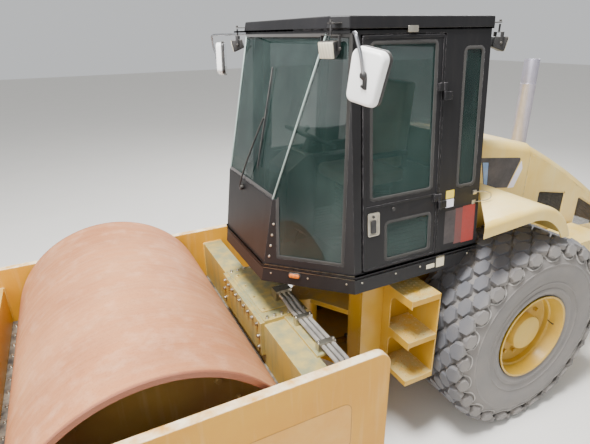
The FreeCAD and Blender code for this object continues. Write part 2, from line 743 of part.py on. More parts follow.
def rim(side):
    """A deep rim with flanges, a dished disc and a hub, bored for the spindle."""
    middle = side * TYRE_TRACK / 2
    half = RIM_WIDTH / 2
    barrel = RIM_BARREL_RADIUS
    disc = half - RIM_DISC_INSET
    profile = [(-half, RIM_FLANGE_RADIUS), (-half, barrel),
               (disc - 120, barrel), (disc - 60, barrel - 25),
               (disc - RIM_DISC_WALL, HUB_RADIUS + 40),
               (disc - RIM_DISC_WALL, SPINDLE_RADIUS + PIN_CLEARANCE),
               (disc + HUB_PROUD, SPINDLE_RADIUS + PIN_CLEARANCE),
               (disc + HUB_PROUD, HUB_RADIUS), (disc, HUB_RADIUS + 10), (disc, HUB_RADIUS + 50),
               (disc - 40, barrel - RIM_WALL), (half, barrel), (half, RIM_FLANGE_RADIUS),
               (half - RIM_WALL, RIM_FLANGE_RADIUS), (half - RIM_WALL, barrel + RIM_WALL),
               (-half + RIM_WALL, barrel + RIM_WALL), (-half + RIM_WALL, RIM_FLANGE_RADIUS)]
    return turned([(middle + side * y, radius) for y, radius in profile], AXLE_X, AXLE_Z)


def rear_axle():
    """The axle housing under the frame, with a bowl, pads and a spindle at each end."""
    spindle = TYRE_TRACK / 2 + RIM_WIDTH / 2 - RIM_DISC_INSET + HUB_PROUD - 15
    flange = TYRE_TRACK / 2 + RIM_WIDTH / 2 - RIM_DISC_INSET - RIM_DISC_WALL - JOINT_GAP
    pieces = [rod(AXLE_TUBE_RADIUS, (AXLE_X, -flange, AXLE_Z), (AXLE_X, flange, AXLE_Z)),
              rod(SPINDLE_RADIUS, (AXLE_X, -spindle, AXLE_Z), (AXLE_X, spindle, AXLE_Z)),
              Part.makeSphere(AXLE_BOWL_RADIUS, Vector(AXLE_X, 0, AXLE_Z))]
    for side in (1, -1):
        pieces.append(rod(HUB_RADIUS, (AXLE_X, side * (flange - 60), AXLE_Z),
                          (AXLE_X, side * flange, AXLE_Z)))
        low, high = sorted((side * (FRAME_HALF - 120), side * FRAME_HALF))
        pieces.append(box((AXLE_X - AXLE_PAD_HALF, AXLE_X + AXLE_PAD_HALF), (low, high),
                          (AXLE_Z, FRAME_OVER_AXLE)))
    return fuse(pieces)


# Rear frame

def frame_side(side):
    """One long side plate, arched over the axle and raised at the front under the cab."""
    rear = REAR_END + BUMPER_DEPTH
    arch = TYRE_RADIUS + 10
    front = PIVOT_X - FRAME_FRONT_TO_PIVOT
    ear_bottom = HITCH_HEIGHT - EAR_SPACING / 2 - EAR_WALL
    outline = [(rear, BUMPER_BOTTOM, 0), (AXLE_X - arch + 300, FRAME_BOTTOM, 60),
               (AXLE_X - 260, FRAME_OVER_AXLE, 60), (AXLE_X + 260, FRAME_OVER_AXLE, 60),
               (AXLE_X + arch - 300, ear_bottom, 60), (front, ear_bottom, 0),
               (front, DECK_TOP - DECK_WALL, 0), (CAB_REAR + DECK_TO_CAB_REAR, DECK_TOP - DECK_WALL, 40),
               (CAB_REAR + DECK_TO_CAB_REAR, FRAME_TOP, 40), (AXLE_X - HOOD_SEAM_TO_AXLE, FRAME_TOP, 40),
               (AXLE_X - HOOD_SEAM_TO_AXLE - 150, HOOD_BOTTOM - 40, 40), (rear, HOOD_BOTTOM - 60, 0)]
    low, high = sorted((side * (FRAME_HALF - FRAME_WALL), side * FRAME_HALF))
    return sheet_xz(outline, low, high)


def frame_bulkhead():
    """The front face of the plate across the frame, just behind the steering cylinders."""
    return PIVOT_X - CYLINDER_TAIL_TO_PIVOT - CYLINDER_EYE_RADIUS - CYLINDER_TO_BULKHEAD


def frame_plates():
    """The plates across the frame, at its tail and behind the hitch."""
    rear = REAR_END + BUMPER_DEPTH
    bulkhead = frame_bulkhead()
    tail = box((rear, rear + FRAME_WALL), (-FRAME_INNER, FRAME_INNER),
               (BUMPER_BOTTOM, HOOD_BOTTOM - TAIL_TO_HOOD))
    wall = box((bulkhead - FRAME_WALL, bulkhead), (-FRAME_INNER, FRAME_INNER),
               (HITCH_HEIGHT - EAR_SPACING / 2 - EAR_WALL, DECK_TOP - DECK_WALL))
    return [tail, wall]


def frame_deck():
    """The deck under the cab and, at each side, a box of plates that carries the steps."""
    front = PIVOT_X - FRAME_FRONT_TO_PIVOT
    wing_rear = PIVOT_X - STEP_FRONT_TO_PIVOT - STEP_DEPTH
    wing_bottom = STEP_TOP - STEP_RISE * (STEP_COUNT - 1) - STEP_LIP
    under = DECK_TOP - DECK_WALL
    pieces = [box((CAB_REAR + DECK_TO_CAB_REAR, front), (-FRAME_FRONT_HALF, FRAME_FRONT_HALF),
                  (under, DECK_TOP))]
    outer = FRAME_FRONT_HALF - FRAME_WALL
    pieces += both(box((wing_rear, front), (outer, FRAME_FRONT_HALF), (wing_bottom, under)))
    for x in (wing_rear, front - FRAME_WALL):
        pieces += both(box((x, x + FRAME_WALL), (FRAME_HALF, outer), (wing_bottom, under)))
    return pieces


def hitch_ears():
    """Two ears that reach ahead from the bulkhead, and the vertical pin through them."""
    front = PIVOT_X - FRAME_FRONT_TO_PIVOT
    bulkhead = frame_bulkhead()
    half = EAR_SPACING / 2
    tip = PIVOT_X + EAR_END_RADIUS
    bottom, top = HITCH_HEIGHT - half - EAR_WALL, HITCH_HEIGHT + half + EAR_WALL
    bore = rod(HITCH_PIN_RADIUS + PIN_CLEARANCE, (PIVOT_X, 0, bottom), (PIVOT_X, 0, top))
    ears = []
    for low in (bottom, top - EAR_WALL):
        ear = sheet_xy([(bulkhead, -FRAME_INNER, 0), (front, -FRAME_INNER, 0), (PIVOT_X, -EAR_END_RADIUS, 0),
                        (tip, -EAR_END_RADIUS, EAR_END_RADIUS - 1), (tip, EAR_END_RADIUS, EAR_END_RADIUS - 1),
                        (PIVOT_X, EAR_END_RADIUS, 0), (front, FRAME_INNER, 0), (bulkhead, FRAME_INNER, 0)],
                       low, low + EAR_WALL)
        ears.append(ear.cut(bore))
    return ears + [rod(HITCH_PIN_RADIUS, (PIVOT_X, 0, bottom), (PIVOT_X, 0, top))]


def frame_brackets():
    """The engine's feet, the hood's hinge brackets and the steering cylinders' lugs."""
    pieces = engine_feet()
    rear = REAR_END + BUMPER_DEPTH
    low, high = HOOD_HINGE_SIDE, HOOD_HINGE_SIDE + FRAME_WALL
    bracket = box((HOOD_HINGE_X - HOOD_BRACKET_REAR, rear), (low, high),
                  (HOOD_HINGE_Z - HOOD_BRACKET_DROP, HOOD_HINGE_Z + HOOD_BRACKET_RISE))
    pin = rod(HOOD_PIN_RADIUS, (HOOD_HINGE_X, low, HOOD_HINGE_Z),
              (HOOD_HINGE_X, high + FRAME_WALL, HOOD_HINGE_Z))
    pieces += both(bracket.fuse(pin).removeSplitter())
    tail = cylinder_line(1)[0]
    gap = CYLINDER_EYE_WIDTH / 2 + JOINT_GAP
    lugs = [rod(CYLINDER_PIN_RADIUS, (tail.x, tail.y, CYLINDER_HEIGHT - gap - LUG_WALL / 2),
                (tail.x, tail.y, CYLINDER_HEIGHT + gap + LUG_WALL / 2))]
    for level in (-1, 1):
        z = sorted((CYLINDER_HEIGHT + level * gap, CYLINDER_HEIGHT + level * (gap + LUG_WALL)))
        lugs.append(box((tail.x - CYLINDER_EYE_RADIUS, tail.x + CYLINDER_EYE_RADIUS),
                        (CYLINDER_TAIL_SIDE - CYLINDER_EYE_RADIUS, FRAME_INNER), z))
    return pieces + both(fuse(lugs))


def steps(side):
    """Three treads between a full rear sheet and a front sheet with open notches."""
    front = PIVOT_X - STEP_FRONT_TO_PIVOT
    rear = front - STEP_DEPTH
    inner = FRAME_FRONT_HALF
    spine = inner + 90
    lowest = STEP_TOP - STEP_RISE * (STEP_COUNT - 1)
    foot = lowest - STEP_LIP
    pieces = [box((rear, rear + STEP_WALL), (inner, STEP_OUTER), (foot, STEP_TOP))]
    face = box((front - STEP_WALL, front), (inner, STEP_OUTER), (foot, STEP_TOP))
    for index in range(STEP_COUNT):
        top = STEP_TOP - STEP_RISE * index
        if index < STEP_COUNT - 1:
            corners = [(spine, top - STEP_RISE, 0), (STEP_OUTER + 10, top - STEP_RISE, 0),
                       (STEP_OUTER + 10, top - STEP_LIP - 20, 0), (spine, top - STEP_LIP - 20, 60)]
            face = face.cut(sheet_yz(corners, front - STEP_WALL - 1, front + 1))
        pieces.append(box((rear, front), (inner, STEP_OUTER), (top - STEP_WALL, top)))
        pieces.append(box((rear, front), (STEP_OUTER - STEP_WALL, STEP_OUTER), (top - STEP_LIP, top)))
    pieces.append(face)
    shape = fuse(pieces)
    return shape if side > 0 else mirrored(shape)


def rear_bumper():
    outline = [(REAR_END, -BUMPER_HALF, 60), (REAR_END + BUMPER_DEPTH, -BUMPER_HALF, 0),
               (REAR_END + BUMPER_DEPTH, BUMPER_HALF, 0), (REAR_END, BUMPER_HALF, 60)]
    return sheet_xy(outline, BUMPER_BOTTOM, BUMPER_TOP)


def side_box(side):
    """A tank or battery box behind the tyre, cut round it, with its upper part outside the hood."""
    rear = REAR_END + BUMPER_DEPTH + BOX_CORNER
    front = rear + BOX_LENGTH
    outline = [(rear, BOX_BOTTOM, BOX_CORNER), (front, BOX_BOTTOM, 0), (front, BOX_TOP, 0),
               (rear + BOX_SLOPE, BOX_TOP, BOX_SLOPE / 4), (rear, BOX_REAR_TOP, BOX_CORNER)]
    body = sheet_xz(outline, FRAME_HALF, BOX_OUTER)
    ledge = box((rear, front), (FRAME_HALF, HOOD_HALF + BOX_TO_HOOD), (BOX_LEDGE, BOX_TOP))
    room = rod(TYRE_RADIUS + TYRE_TO_BOX, (AXLE_X, FRAME_HALF, AXLE_Z), (AXLE_X, BOX_OUTER, AXLE_Z))
    shape = body.cut(ledge).cut(room)
    return shape if side > 0 else mirrored(shape)


def fender(side):
    """An arched cover over the tyre with a rounded rear, a lip outside and a flange inside."""
    bend = AXLE_X + FENDER_BEND_TO_AXLE
    front = AXLE_X + FENDER_FRONT_TO_AXLE
    centre = FENDER_TOP - FENDER_BEND
    end = TYRE_RADIUS * 2 + TYRE_TO_FENDER - 15

    def band(depth):
        radius = FENDER_BEND - depth
        tail = Vector(bend - math.sqrt(radius ** 2 - (end - centre) ** 2), 0, end)
        knee = Vector(bend, 0, centre + radius)
        turn = math.radians(30)
        middle = Vector(bend - radius * math.sin(turn), 0, centre + radius * math.cos(turn))
        nose = Vector(front, 0, FENDER_TOP - FENDER_FRONT_DROP - depth)
        return tail, middle, knee, nose

    def top_of(band_solid):
        return band_solid.BoundBox.ZMax

    def skin(start, depth, inner, outer):
        upper = band(start)
        lower = band(depth)
        edges = [Part.Arc(upper[0], upper[1], upper[2]).toShape(),
                 Part.LineSegment(upper[2], upper[3]).toShape(),
                 Part.LineSegment(upper[3], lower[3]).toShape(),
                 Part.LineSegment(lower[3], lower[2]).toShape(),
                 Part.Arc(lower[2], lower[1], lower[0]).toShape(),
                 Part.LineSegment(lower[0], upper[0]).toShape()]
        face = Part.Face(Part.Wire(edges))
        face.translate(Vector(0, inner, 0))
        return face.extrude(Vector(0, outer - inner, 0))

    def rounded(band_solid, outer, radius):
        edges = [edge for edge in band_solid.Edges
                 if edge.BoundBox.YLength < 1 and abs(edge.BoundBox.YMax - outer) < 1
                 and edge.BoundBox.XLength > FENDER_LIP and edge.BoundBox.ZMax > top_of(band_solid) - 1]
        return band_solid.makeFillet(radius, edges)

    block = rounded(skin(0, FENDER_LIP, HOOD_HALF, FENDER_OUTER), FENDER_OUTER, FENDER_SHOULDER)
    inner = FENDER_OUTER - FENDER_WALL
    room = rounded(skin(FENDER_WALL, 2 * FENDER_LIP, HOOD_HALF, inner), inner, FENDER_SHOULDER - FENDER_WALL)
    shape = block.cut(room)
    room = rod(TYRE_RADIUS + TYRE_TO_FENDER, (AXLE_X, 0, AXLE_Z), (AXLE_X, WIDTH, AXLE_Z))
    shape = shape.cut(room).cut(cab_block(CAB_BOTTOM, CAB_WALL_TOP, -FENDER_TO_CAB))
    return shape if side > 0 else mirrored(shape)


# Hood

def hood_outline(inset):
    """The hood seen from the side, as a face at y 0, with its top set in."""
    seam = AXLE_X - HOOD_SEAM_TO_AXLE
    tail = REAR_END + HOOD_TAIL_SETBACK
    rear = REAR_END + HOOD_REAR_GAP
    start = Vector(seam, 0, HOOD_SEAM_TOP - inset)
    middle = Vector((seam + tail) / 2, 0, HOOD_MIDDLE_TOP - inset)
    end = Vector(tail + inset / 2, 0, HOOD_TAIL_TOP - inset)
    corner = Vector(rear + 60 + inset, 0, HOOD_TAIL_TOP - 110)
    low = Vector(rear + inset, 0, HOOD_BOTTOM)
    foot = Vector(seam, 0, HOOD_BOTTOM)
    edges = [Part.Arc(start, middle, end).toShape()]
    for first, second in ((end, corner), (corner, low), (low, foot), (foot, start)):
        edges.append(Part.LineSegment(first, second).toShape())
    return Part.Face(Part.Wire(edges))


def shoulders(block, half, radius):
    """A hood block with its upper long edges rounded."""
    edges = []
    for edge in block.Edges:
        box_of_edge = edge.BoundBox
        if abs(abs(box_of_edge.YMin) - half) < 1 and box_of_edge.YLength < 1 \
                and box_of_edge.XLength > HOOD_SEAM_TO_AXLE and box_of_edge.ZMin > HOOD_BOTTOM + 10:
            edges.append(edge)
    return block.makeFillet(radius, edges)


def hood_shell():
    """The hood's bent sheets, open below and ahead, with the exhaust's hole."""
    outer = hood_outline(0)
    outer.translate(Vector(0, -HOOD_HALF, 0))
    outer = shoulders(outer.extrude(Vector(0, 2 * HOOD_HALF, 0)), HOOD_HALF, HOOD_SHOULDER)
    inner = hood_outline(HOOD_WALL)
    half = HOOD_HALF - HOOD_WALL
    inner.translate(Vector(0, -half, 0))
    inner = shoulders(inner.extrude(Vector(0, 2 * half, 0)), half, HOOD_SHOULDER - HOOD_WALL)
    x = AXLE_X - EXHAUST_TO_AXLE
    return outer.cut(inner).cut(rod(EXHAUST_RADIUS + 0.3, (x, 0, HOOD_BOTTOM), (x, 0, EXHAUST_TOP)))


def side_panel_room():
    """The space that the hood's left side panel fills, below the shoulder and ahead of the tail."""
    room = hood_outline(HOOD_SHOULDER)
    room.translate(Vector(0, HOOD_HALF - HOOD_WALL, 0))
    return room.extrude(Vector(0, HOOD_WALL, 0))


def hood_sides():
    """The two flat side panels of the hood, with openings for its grilles."""
    panel = hood_shell().common(side_panel_room())
    for corners in hood_openings(0):
        panel = panel.cut(sheet_xz(corners, 0, WIDTH))
    return both(panel)


def hood():
    """The tilting hood's top and tail, with the arms that turn on its hinge pins."""
    pieces = [cut(hood_shell(), both(side_panel_room()))]
    rear = REAR_END + HOOD_REAR_GAP + HOOD_WALL / 2
    inside = HOOD_HINGE_SIDE + FRAME_WALL + JOINT_GAP
    eye = 2 * HOOD_PIN_RADIUS
    arm = sheet_xz([(rear, HOOD_BOTTOM, 0), (HOOD_HINGE_X - eye, HOOD_HINGE_Z - eye, 20),
                    (HOOD_HINGE_X + eye, HOOD_HINGE_Z - eye, 20),
                    (HOOD_HINGE_X + eye, HOOD_BOTTOM + HOOD_ARM_RISE, 20),
                    (rear, HOOD_BOTTOM + HOOD_ARM_RISE, 0)], inside, inside + HOOD_ARM_WALL)
    pieces += both(arm.cut(rod(HOOD_PIN_RADIUS + PIN_CLEARANCE, (HOOD_HINGE_X, inside, HOOD_HINGE_Z),
                               (HOOD_HINGE_X, inside + HOOD_ARM_WALL, HOOD_HINGE_Z))))
    return fuse(pieces)


def hood_openings(inset):
    """The outlines of the two side openings, (x, z, radius), each set in."""
    seam = AXLE_X - HOOD_SEAM_TO_AXLE
    front = seam - OPENING_TO_SEAM
    rear = front - OPENING_LENGTH
    foot = HOOD_BOTTOM + OPENING_FOOT
    first = [(front, foot), (rear, foot - OPENING_FOOT_DROP),
             (rear, foot + OPENING_HEIGHT - OPENING_TOP_DROP), (front, foot + OPENING_HEIGHT)]
    front = rear - OPENING_GAP
    rear = front - REAR_OPENING_LENGTH
    foot = HOOD_BOTTOM + REAR_OPENING_FOOT
    second = [(front, foot), (rear, foot - REAR_OPENING_FOOT_DROP),
              (rear, foot + REAR_OPENING_HEIGHT - REAR_OPENING_TOP_DROP), (front, foot + REAR_OPENING_HEIGHT)]
    result = []
    for corners in (first, second):
        mid_x = sum(x for x, z in corners) / 4
        mid_z = sum(z for x, z in corners) / 4
        result.append([(x - math.copysign(inset, x - mid_x), z - math.copysign(inset, z - mid_z),
                        OPENING_CORNER)
                       for x, z in corners])
    return result


def hood_grilles():
    """Slotted sheets that fill the side openings of the hood."""
    pieces = []
    for corners in hood_openings(GLASS_EDGE):
        low = min(z for x, z, radius in corners)
        high = max(z for x, z, radius in corners)
        left = min(x for x, z, radius in corners)
        right = max(x for x, z, radius in corners)
        sheet = sheet_xz(corners, HOOD_HALF - HOOD_WALL + 2, HOOD_HALF - 2)
        count = int((high - low) / GRILLE_PITCH)
        for index in range(1, count):
            z = low + (high - low) * index / count
            slot = box((left + GRILLE_MARGIN, right - GRILLE_MARGIN), (0, WIDTH),
                       (z - GRILLE_SLOT / 2, z + GRILLE_SLOT / 2))
            sheet = sheet.cut(slot)
        pieces += both(sheet)
    return pieces


def cowl():
    """The fixed front part of the hood, between the tilting part and the cab."""
    rear = AXLE_X - HOOD_SEAM_TO_AXLE + JOINT_GAP
    front = CAB_REAR - COWL_TO_CAB

    def block(inset):
        corners = [(rear - inset, FRAME_TOP, 0), (front - inset, FRAME_TOP, 0),
                   (front - inset, COWL_TOP - inset, 0), (rear - inset, HOOD_SEAM_TOP + 10 - inset, 0)]
        block = sheet_xz(corners, -HOOD_HALF + inset, HOOD_HALF - inset)
        return shoulders(block, HOOD_HALF - inset, HOOD_SHOULDER - inset)

    return block(0).cut(block(HOOD_WALL))


def exhaust():
    x = AXLE_X - EXHAUST_TO_AXLE
    foot = HOOD_MIDDLE_TOP - 60
    return pipe(EXHAUST_RADIUS, EXHAUST_RADIUS - 6, (x, 0, foot), (x, 0, EXHAUST_TOP))


def engine():
    """A plain block at the engine's real size."""
    return box((ENGINE_REAR, ENGINE_REAR + ENGINE_LENGTH), (-ENGINE_HALF, ENGINE_HALF),
               (ENGINE_BOTTOM, ENGINE_TOP))


def engine_feet():
    """Four brackets on the frame's side plates, under the engine's corners."""
    feet = []
    for x in (ENGINE_REAR + 2 * ENGINE_FOOT, ENGINE_REAR + ENGINE_LENGTH - 2 * ENGINE_FOOT):
        foot = box((x - ENGINE_FOOT, x + ENGINE_FOOT), (ENGINE_HALF - ENGINE_FOOT, FRAME_HALF - FRAME_WALL),
                   (ENGINE_BOTTOM - FRAME_WALL, ENGINE_BOTTOM))
        feet += both(foot)
    return feet


# Cab

LEAN_LENGTH = math.hypot(1, CAB_LEAN)
SIDE_UP = Vector(0, -CAB_LEAN / LEAN_LENGTH, 1 / LEAN_LENGTH)
SIDE_OUT = Vector(0, 1 / LEAN_LENGTH, CAB_LEAN / LEAN_LENGTH)
SIDE = (Vector(CAB_POST, CAB_HALF, CAB_BOTTOM), SIDE_OUT)
POST_TOP_HALF = CAB_HALF - CAB_LEAN * (HEIGHT - CAB_BOTTOM)
CORNER = plane_through(Vector(CAB_POST, CAB_HALF, CAB_BOTTOM), Vector(CAB_POST + 16, POST_TOP_HALF, HEIGHT),
                       Vector(CAB_NOSE, CAB_NOSE_HALF, CAB_BOTTOM))
if CORNER[1].x < 0:
    CORNER = (CORNER[0], CORNER[1] * -1.0)


def slope_plane(low, high):
    """A plane across the machine through two points (x, z), facing ahead."""
    run = Vector(high[0] - low[0], 0, high[1] - low[1])
    normal = Vector(run.z, 0, -run.x)
    normal.normalize()
    return (Vector(low[0], 0, low[1]), normal)


NOSE = slope_plane((CAB_NOSE, CAB_BOTTOM), (CAB_NOSE - BELT_SETBACK, CAB_BELT))
SCREEN = slope_plane((CAB_NOSE - BELT_SETBACK, CAB_BELT),
                     (CAB_NOSE - BELT_SETBACK - ROOF_SETBACK, CAB_WALL_TOP))
REAR = (Vector(CAB_REAR, 0, CAB_BOTTOM), Vector(-1, 0, 0))


def across(plane):
    """The mirror image of a plane."""
    point, normal = plane
    return (Vector(point.x, -point.y, point.z), Vector(normal.x, -normal.y, normal.z))


CAB_PLANES = [SIDE, across(SIDE), CORNER, across(CORNER), NOSE, SCREEN, REAR]
CHAMFER = (Vector(CAB_REAR, 0, CAB_BOTTOM + CAB_CHAMFER), Vector(-1, 0, -1).normalize())


def cab_block(low, high, inset=0.0):
    """The cab's outer form between two heights, with its walls set in."""
    block = box((CAB_REAR - 200, CAB_NOSE + 200), (-WIDTH / 2, WIDTH / 2), (low, high))
    return clip(block, CAB_PLANES, inset)


def cab_floor():
    """The floor plate with the skirt that hangs round it."""
    pan = cab_block(CAB_BOTTOM, CAB_SILL)
    pan = clip(pan, [CHAMFER])
    room = clip(cab_block(CAB_BOTTOM, CAB_SILL - CAB_FLOOR_WALL, CAB_FLOOR_WALL), [CHAMFER], CAB_FLOOR_WALL)
    return pan.cut(room)


DOOR_FRONT = CAB_POST - DOOR_FRONT_TO_POST
DOOR_REAR = DOOR_FRONT - DOOR_WIDTH
DOOR_TOP = CAB_WALL_TOP - DOOR_HEAD
DOOR_BOTTOM = CAB_SILL + DOOR_GAP
# Side openings of the cab: low x, low z, high x, high z, corner radius
DOOR_WINDOWS = [(DOOR_REAR + DOOR_STILE, CAB_BELT + 20, DOOR_FRONT - DOOR_STILE, DOOR_TOP - 30, 35),
                (DOOR_REAR + DOOR_STILE, DOOR_BOTTOM + 35, DOOR_FRONT - 160, CAB_BELT - 120, 35)]
QUARTER_WINDOW = (CAB_REAR + CAB_WALL, CAB_BELT, DOOR_REAR - 150, DOOR_TOP - 70, 40)
REAR_WINDOW = (-560.0, CAB_BELT, 560.0, DOOR_TOP - 70, 60)


def cab_frame():
    """The cab's walls and posts above the floor, with the door and window openings cut."""
    walls = cab_block(CAB_SILL, CAB_WALL_TOP).cut(cab_block(CAB_SILL, CAB_WALL_TOP, CAB_WALL))
    post = post_plane()
    front = box((CAB_REAR, CAB_NOSE + 200), (-WIDTH / 2, WIDTH / 2), (CAB_BELT + 10, CAB_WALL_TOP - 20))
    cuts = [clip(front, [flipped(post), flipped(across(post))])]
    cuts += both(corner_window(0))
    low, bottom, high, top, radius = QUARTER_WINDOW
    cuts.append(sheet_xz(window((low, bottom), (high, top), radius), -WIDTH, WIDTH))
    low, bottom, high, top, radius = REAR_WINDOW
    cuts.append(sheet_yz(window((low, bottom), (high, top), radius), CAB_REAR - 10, CAB_REAR + 200))
    door = [(DOOR_REAR - DOOR_GAP, CAB_SILL - 1, 0), (DOOR_FRONT + DOOR_SWING_GAP, CAB_SILL - 1, 0),
            (DOOR_FRONT + DOOR_SWING_GAP, DOOR_TOP + DOOR_GAP, 0),
            (DOOR_REAR - DOOR_GAP, DOOR_TOP + DOOR_GAP, 0)]
    cuts.append(sheet_xz(door, -WIDTH, WIDTH))
    frame = cut(walls, cuts)
    pieces = [frame]
    for height in hinge_heights():
        pieces += both(hinge_leaf(height))
    return fuse(pieces)


def post_plane(offset=POST_WIDTH):
    """A plane square to the corner wall, which ends the front post."""
    along = CORNER[1].cross(Vector(0, 0, 1))
    if along.x < 0:
        along = along * -1.0
    along.normalize()
    return (CORNER[0] + along * offset, along)


def corner_window(inset, depth=200.0, top=CAB_BELT + 10):
    """The opening in the left corner wall between the post and the nose, below the belt."""
    block = box((CAB_REAR, CAB_NOSE + 200), (0, WIDTH / 2), (CAB_SILL + CORNER_PANE_SILL + inset, top))
    return clip(block, [flipped(post_plane(POST_WIDTH + inset)), post_plane(CORNER_PANE_END - inset),
                        flipped(CORNER, depth)])


def hinge_heights():
    return (CAB_BELT - HINGE_TO_BELT, DOOR_TOP - HINGE_TO_DOOR_TOP)


def hinge_axis(height):
    """The point of the left door's hinge line at a height."""
    up = (height - CAB_BOTTOM) * LEAN_LENGTH
    foot = Vector(DOOR_REAR - DOOR_GAP / 2, CAB_HALF, CAB_BOTTOM) + SIDE_OUT * HINGE_OUT
    return foot + SIDE_UP * up


def hinge_leaf(height):
    """The cab's half of a hinge: a leaf on the jamb, the lower knuckle and the pin."""
    middle = hinge_axis(height)
    foot = middle - SIDE_UP * (HINGE_LENGTH / 2)
    knuckle = Part.makeCylinder(HINGE_RADIUS, HINGE_LENGTH / 2, foot, SIDE_UP)
    pin = Part.makeCylinder(HINGE_PIN_RADIUS, HINGE_LENGTH, foot, SIDE_UP)
    arm = Part.makeBox(60, HINGE_OUT + 2, HINGE_LENGTH / 2 - 4)
    arm.Placement = FreeCAD.Placement(middle - SIDE_OUT * (HINGE_OUT + 2) - SIDE_UP * (HINGE_LENGTH / 2)
                                      - Vector(60, 0, 0), FreeCAD.Rotation(Vector(0, 0, 1), SIDE_UP))
    return fuse([knuckle, pin, arm])


def door(side):
    """One door: a slab of the side wall with its two windows cut and its hinge knuckles."""
    slab = box((CAB_REAR, CAB_NOSE), (0, WIDTH), (CAB_SILL, CAB_WALL_TOP))
    slab = clip(slab, [SIDE, flipped(SIDE, CAB_WALL)])
    outline = [(DOOR_REAR, DOOR_BOTTOM, 20), (DOOR_FRONT, DOOR_BOTTOM, 20),
               (DOOR_FRONT, DOOR_TOP, 20), (DOOR_REAR, DOOR_TOP, 20)]
    panel = slab.common(sheet_xz(outline, 0, WIDTH))
    for low, bottom, high, top, radius in DOOR_WINDOWS:
        panel = panel.cut(sheet_xz(window((low, bottom), (high, top), radius), 0, WIDTH))
    pieces = [panel]
    for height in hinge_heights():
        middle = hinge_axis(height)
        sleeve = Part.makeCylinder(HINGE_RADIUS, HINGE_LENGTH / 2 - 1, middle + SIDE_UP, SIDE_UP)
        hole = Part.makeCylinder(HINGE_PIN_RADIUS + PIN_CLEARANCE, HINGE_LENGTH, middle - SIDE_UP, SIDE_UP)
        arm = Part.makeBox(45, HINGE_OUT + 2, HINGE_LENGTH / 2 - 5)
        arm.Placement = FreeCAD.Placement(middle - SIDE_OUT * (HINGE_OUT + 2) + SIDE_UP * 4,
                                          FreeCAD.Rotation(Vector(0, 0, 1), SIDE_UP))
        pieces.append(sleeve.fuse(arm).cut(hole))
    shape = fuse(pieces)
    return shape if side > 0 else mirrored(shape)


def side_pane(spec):
    """A pane in a side opening of the left wall."""
    low, bottom, high, top, radius = spec
    edge = GLASS_EDGE
    corners = window((low + edge, bottom + edge), (high - edge, top - edge), radius - edge)
    return pane_between(sheet_xz(corners, 0, WIDTH), SIDE)


def pane_between(block, plane):
    """The slice of a block that lies within the glass thickness behind a plane."""
    block = clip(block, [plane], GLASS_INSET)
    return clip(block, [flipped(plane, GLASS_INSET + GLASS_WALL)])


def door_glass(side):
    panes = [side_pane(spec) for spec in DOOR_WINDOWS]
    return panes if side > 0 else [mirrored(pane) for pane in panes]


def screen_glass():
    """The raked front pane, which meets a corner pane at each side."""
    block = box((CAB_REAR, CAB_NOSE + 200), (-WIDTH / 2, WIDTH / 2),
                (CAB_BELT + 10 + GLASS_EDGE, CAB_WALL_TOP - 20 - GLASS_EDGE))
    pane = pane_between(block, SCREEN)
    return clip(pane, [CORNER, across(CORNER)], GLASS_INSET)


def corner_glass():
    """The left corner pane, from the post to the front pane, dropped below the belt."""
    upper = box((CAB_REAR, CAB_NOSE + 200), (0, WIDTH / 2),
                (CAB_BELT + 10 + GLASS_EDGE, CAB_WALL_TOP - 20 - GLASS_EDGE))
    upper = clip(upper, [flipped(post_plane(POST_WIDTH + GLASS_EDGE))])
    upper = clip(upper, [SCREEN], GLASS_INSET + GLASS_WALL + 2)
    upper = clip(upper, [NOSE], GLASS_INSET + GLASS_WALL + 2)
    lower = corner_window(GLASS_EDGE, top=CAB_BELT + 20)
    return pane_between(upper.fuse(lower), CORNER).removeSplitter()


def quarter_glass():
    return side_pane(QUARTER_WINDOW)


def rear_glass():
    low, bottom, high, top, radius = REAR_WINDOW
    edge = GLASS_EDGE
    corners = window((low + edge, bottom + edge), (high - edge, top - edge), radius)
    return sheet_yz(corners, CAB_REAR + GLASS_INSET, CAB_REAR + GLASS_INSET + GLASS_WALL)


def cab_glass():
    return [screen_glass(), rear_glass()] + both(corner_glass()) + both(quarter_glass())


def cab_roof():
    block = box((CAB_REAR - 200, CAB_NOSE + 200), (-WIDTH / 2, WIDTH / 2), (CAB_WALL_TOP, HEIGHT))
    return clip(block, CAB_PLANES, -CAB_ROOF_OVERHANG)


def cab_mounts():
    """Rubber mounts between the deck and the cab floor."""
    mounts = []
    for x in (CAB_REAR + MOUNT_TO_CAB_END, CAB_POST - MOUNT_TO_CAB_END):
        for side in (1, -1):
            y = side * (FRAME_FRONT_HALF - MOUNT_TO_DECK_EDGE)
            mounts.append(rod(MOUNT_RADIUS, (x, y, DECK_TOP), (x, y, CAB_SILL - CAB_FLOOR_WALL)))
    return mounts


def seat_base():
    """The suspension box under the seat."""
    middle = CAB_REAR + SEAT_TO_REAR
    half = SEAT_BASE_LENGTH / 2
    return box((middle - half, middle + half), (-SEAT_BASE_HALF, SEAT_BASE_HALF), (CAB_SILL, SEAT_BASE_TOP))


def seat_cushion():
    rear = CAB_REAR + SEAT_TO_REAR - SEAT_MIDDLE
    front = rear + SEAT_DEPTH
    top = SEAT_BASE_TOP + SEAT_CUSHION
    corners = [(rear, SEAT_BASE_TOP, SEAT_EDGE), (front, SEAT_BASE_TOP, SEAT_EDGE),
               (front, top, SEAT_CUSHION - SEAT_EDGE * 2), (rear, top, SEAT_EDGE)]
    return sheet_xz(corners, -SEAT_HALF, SEAT_HALF)


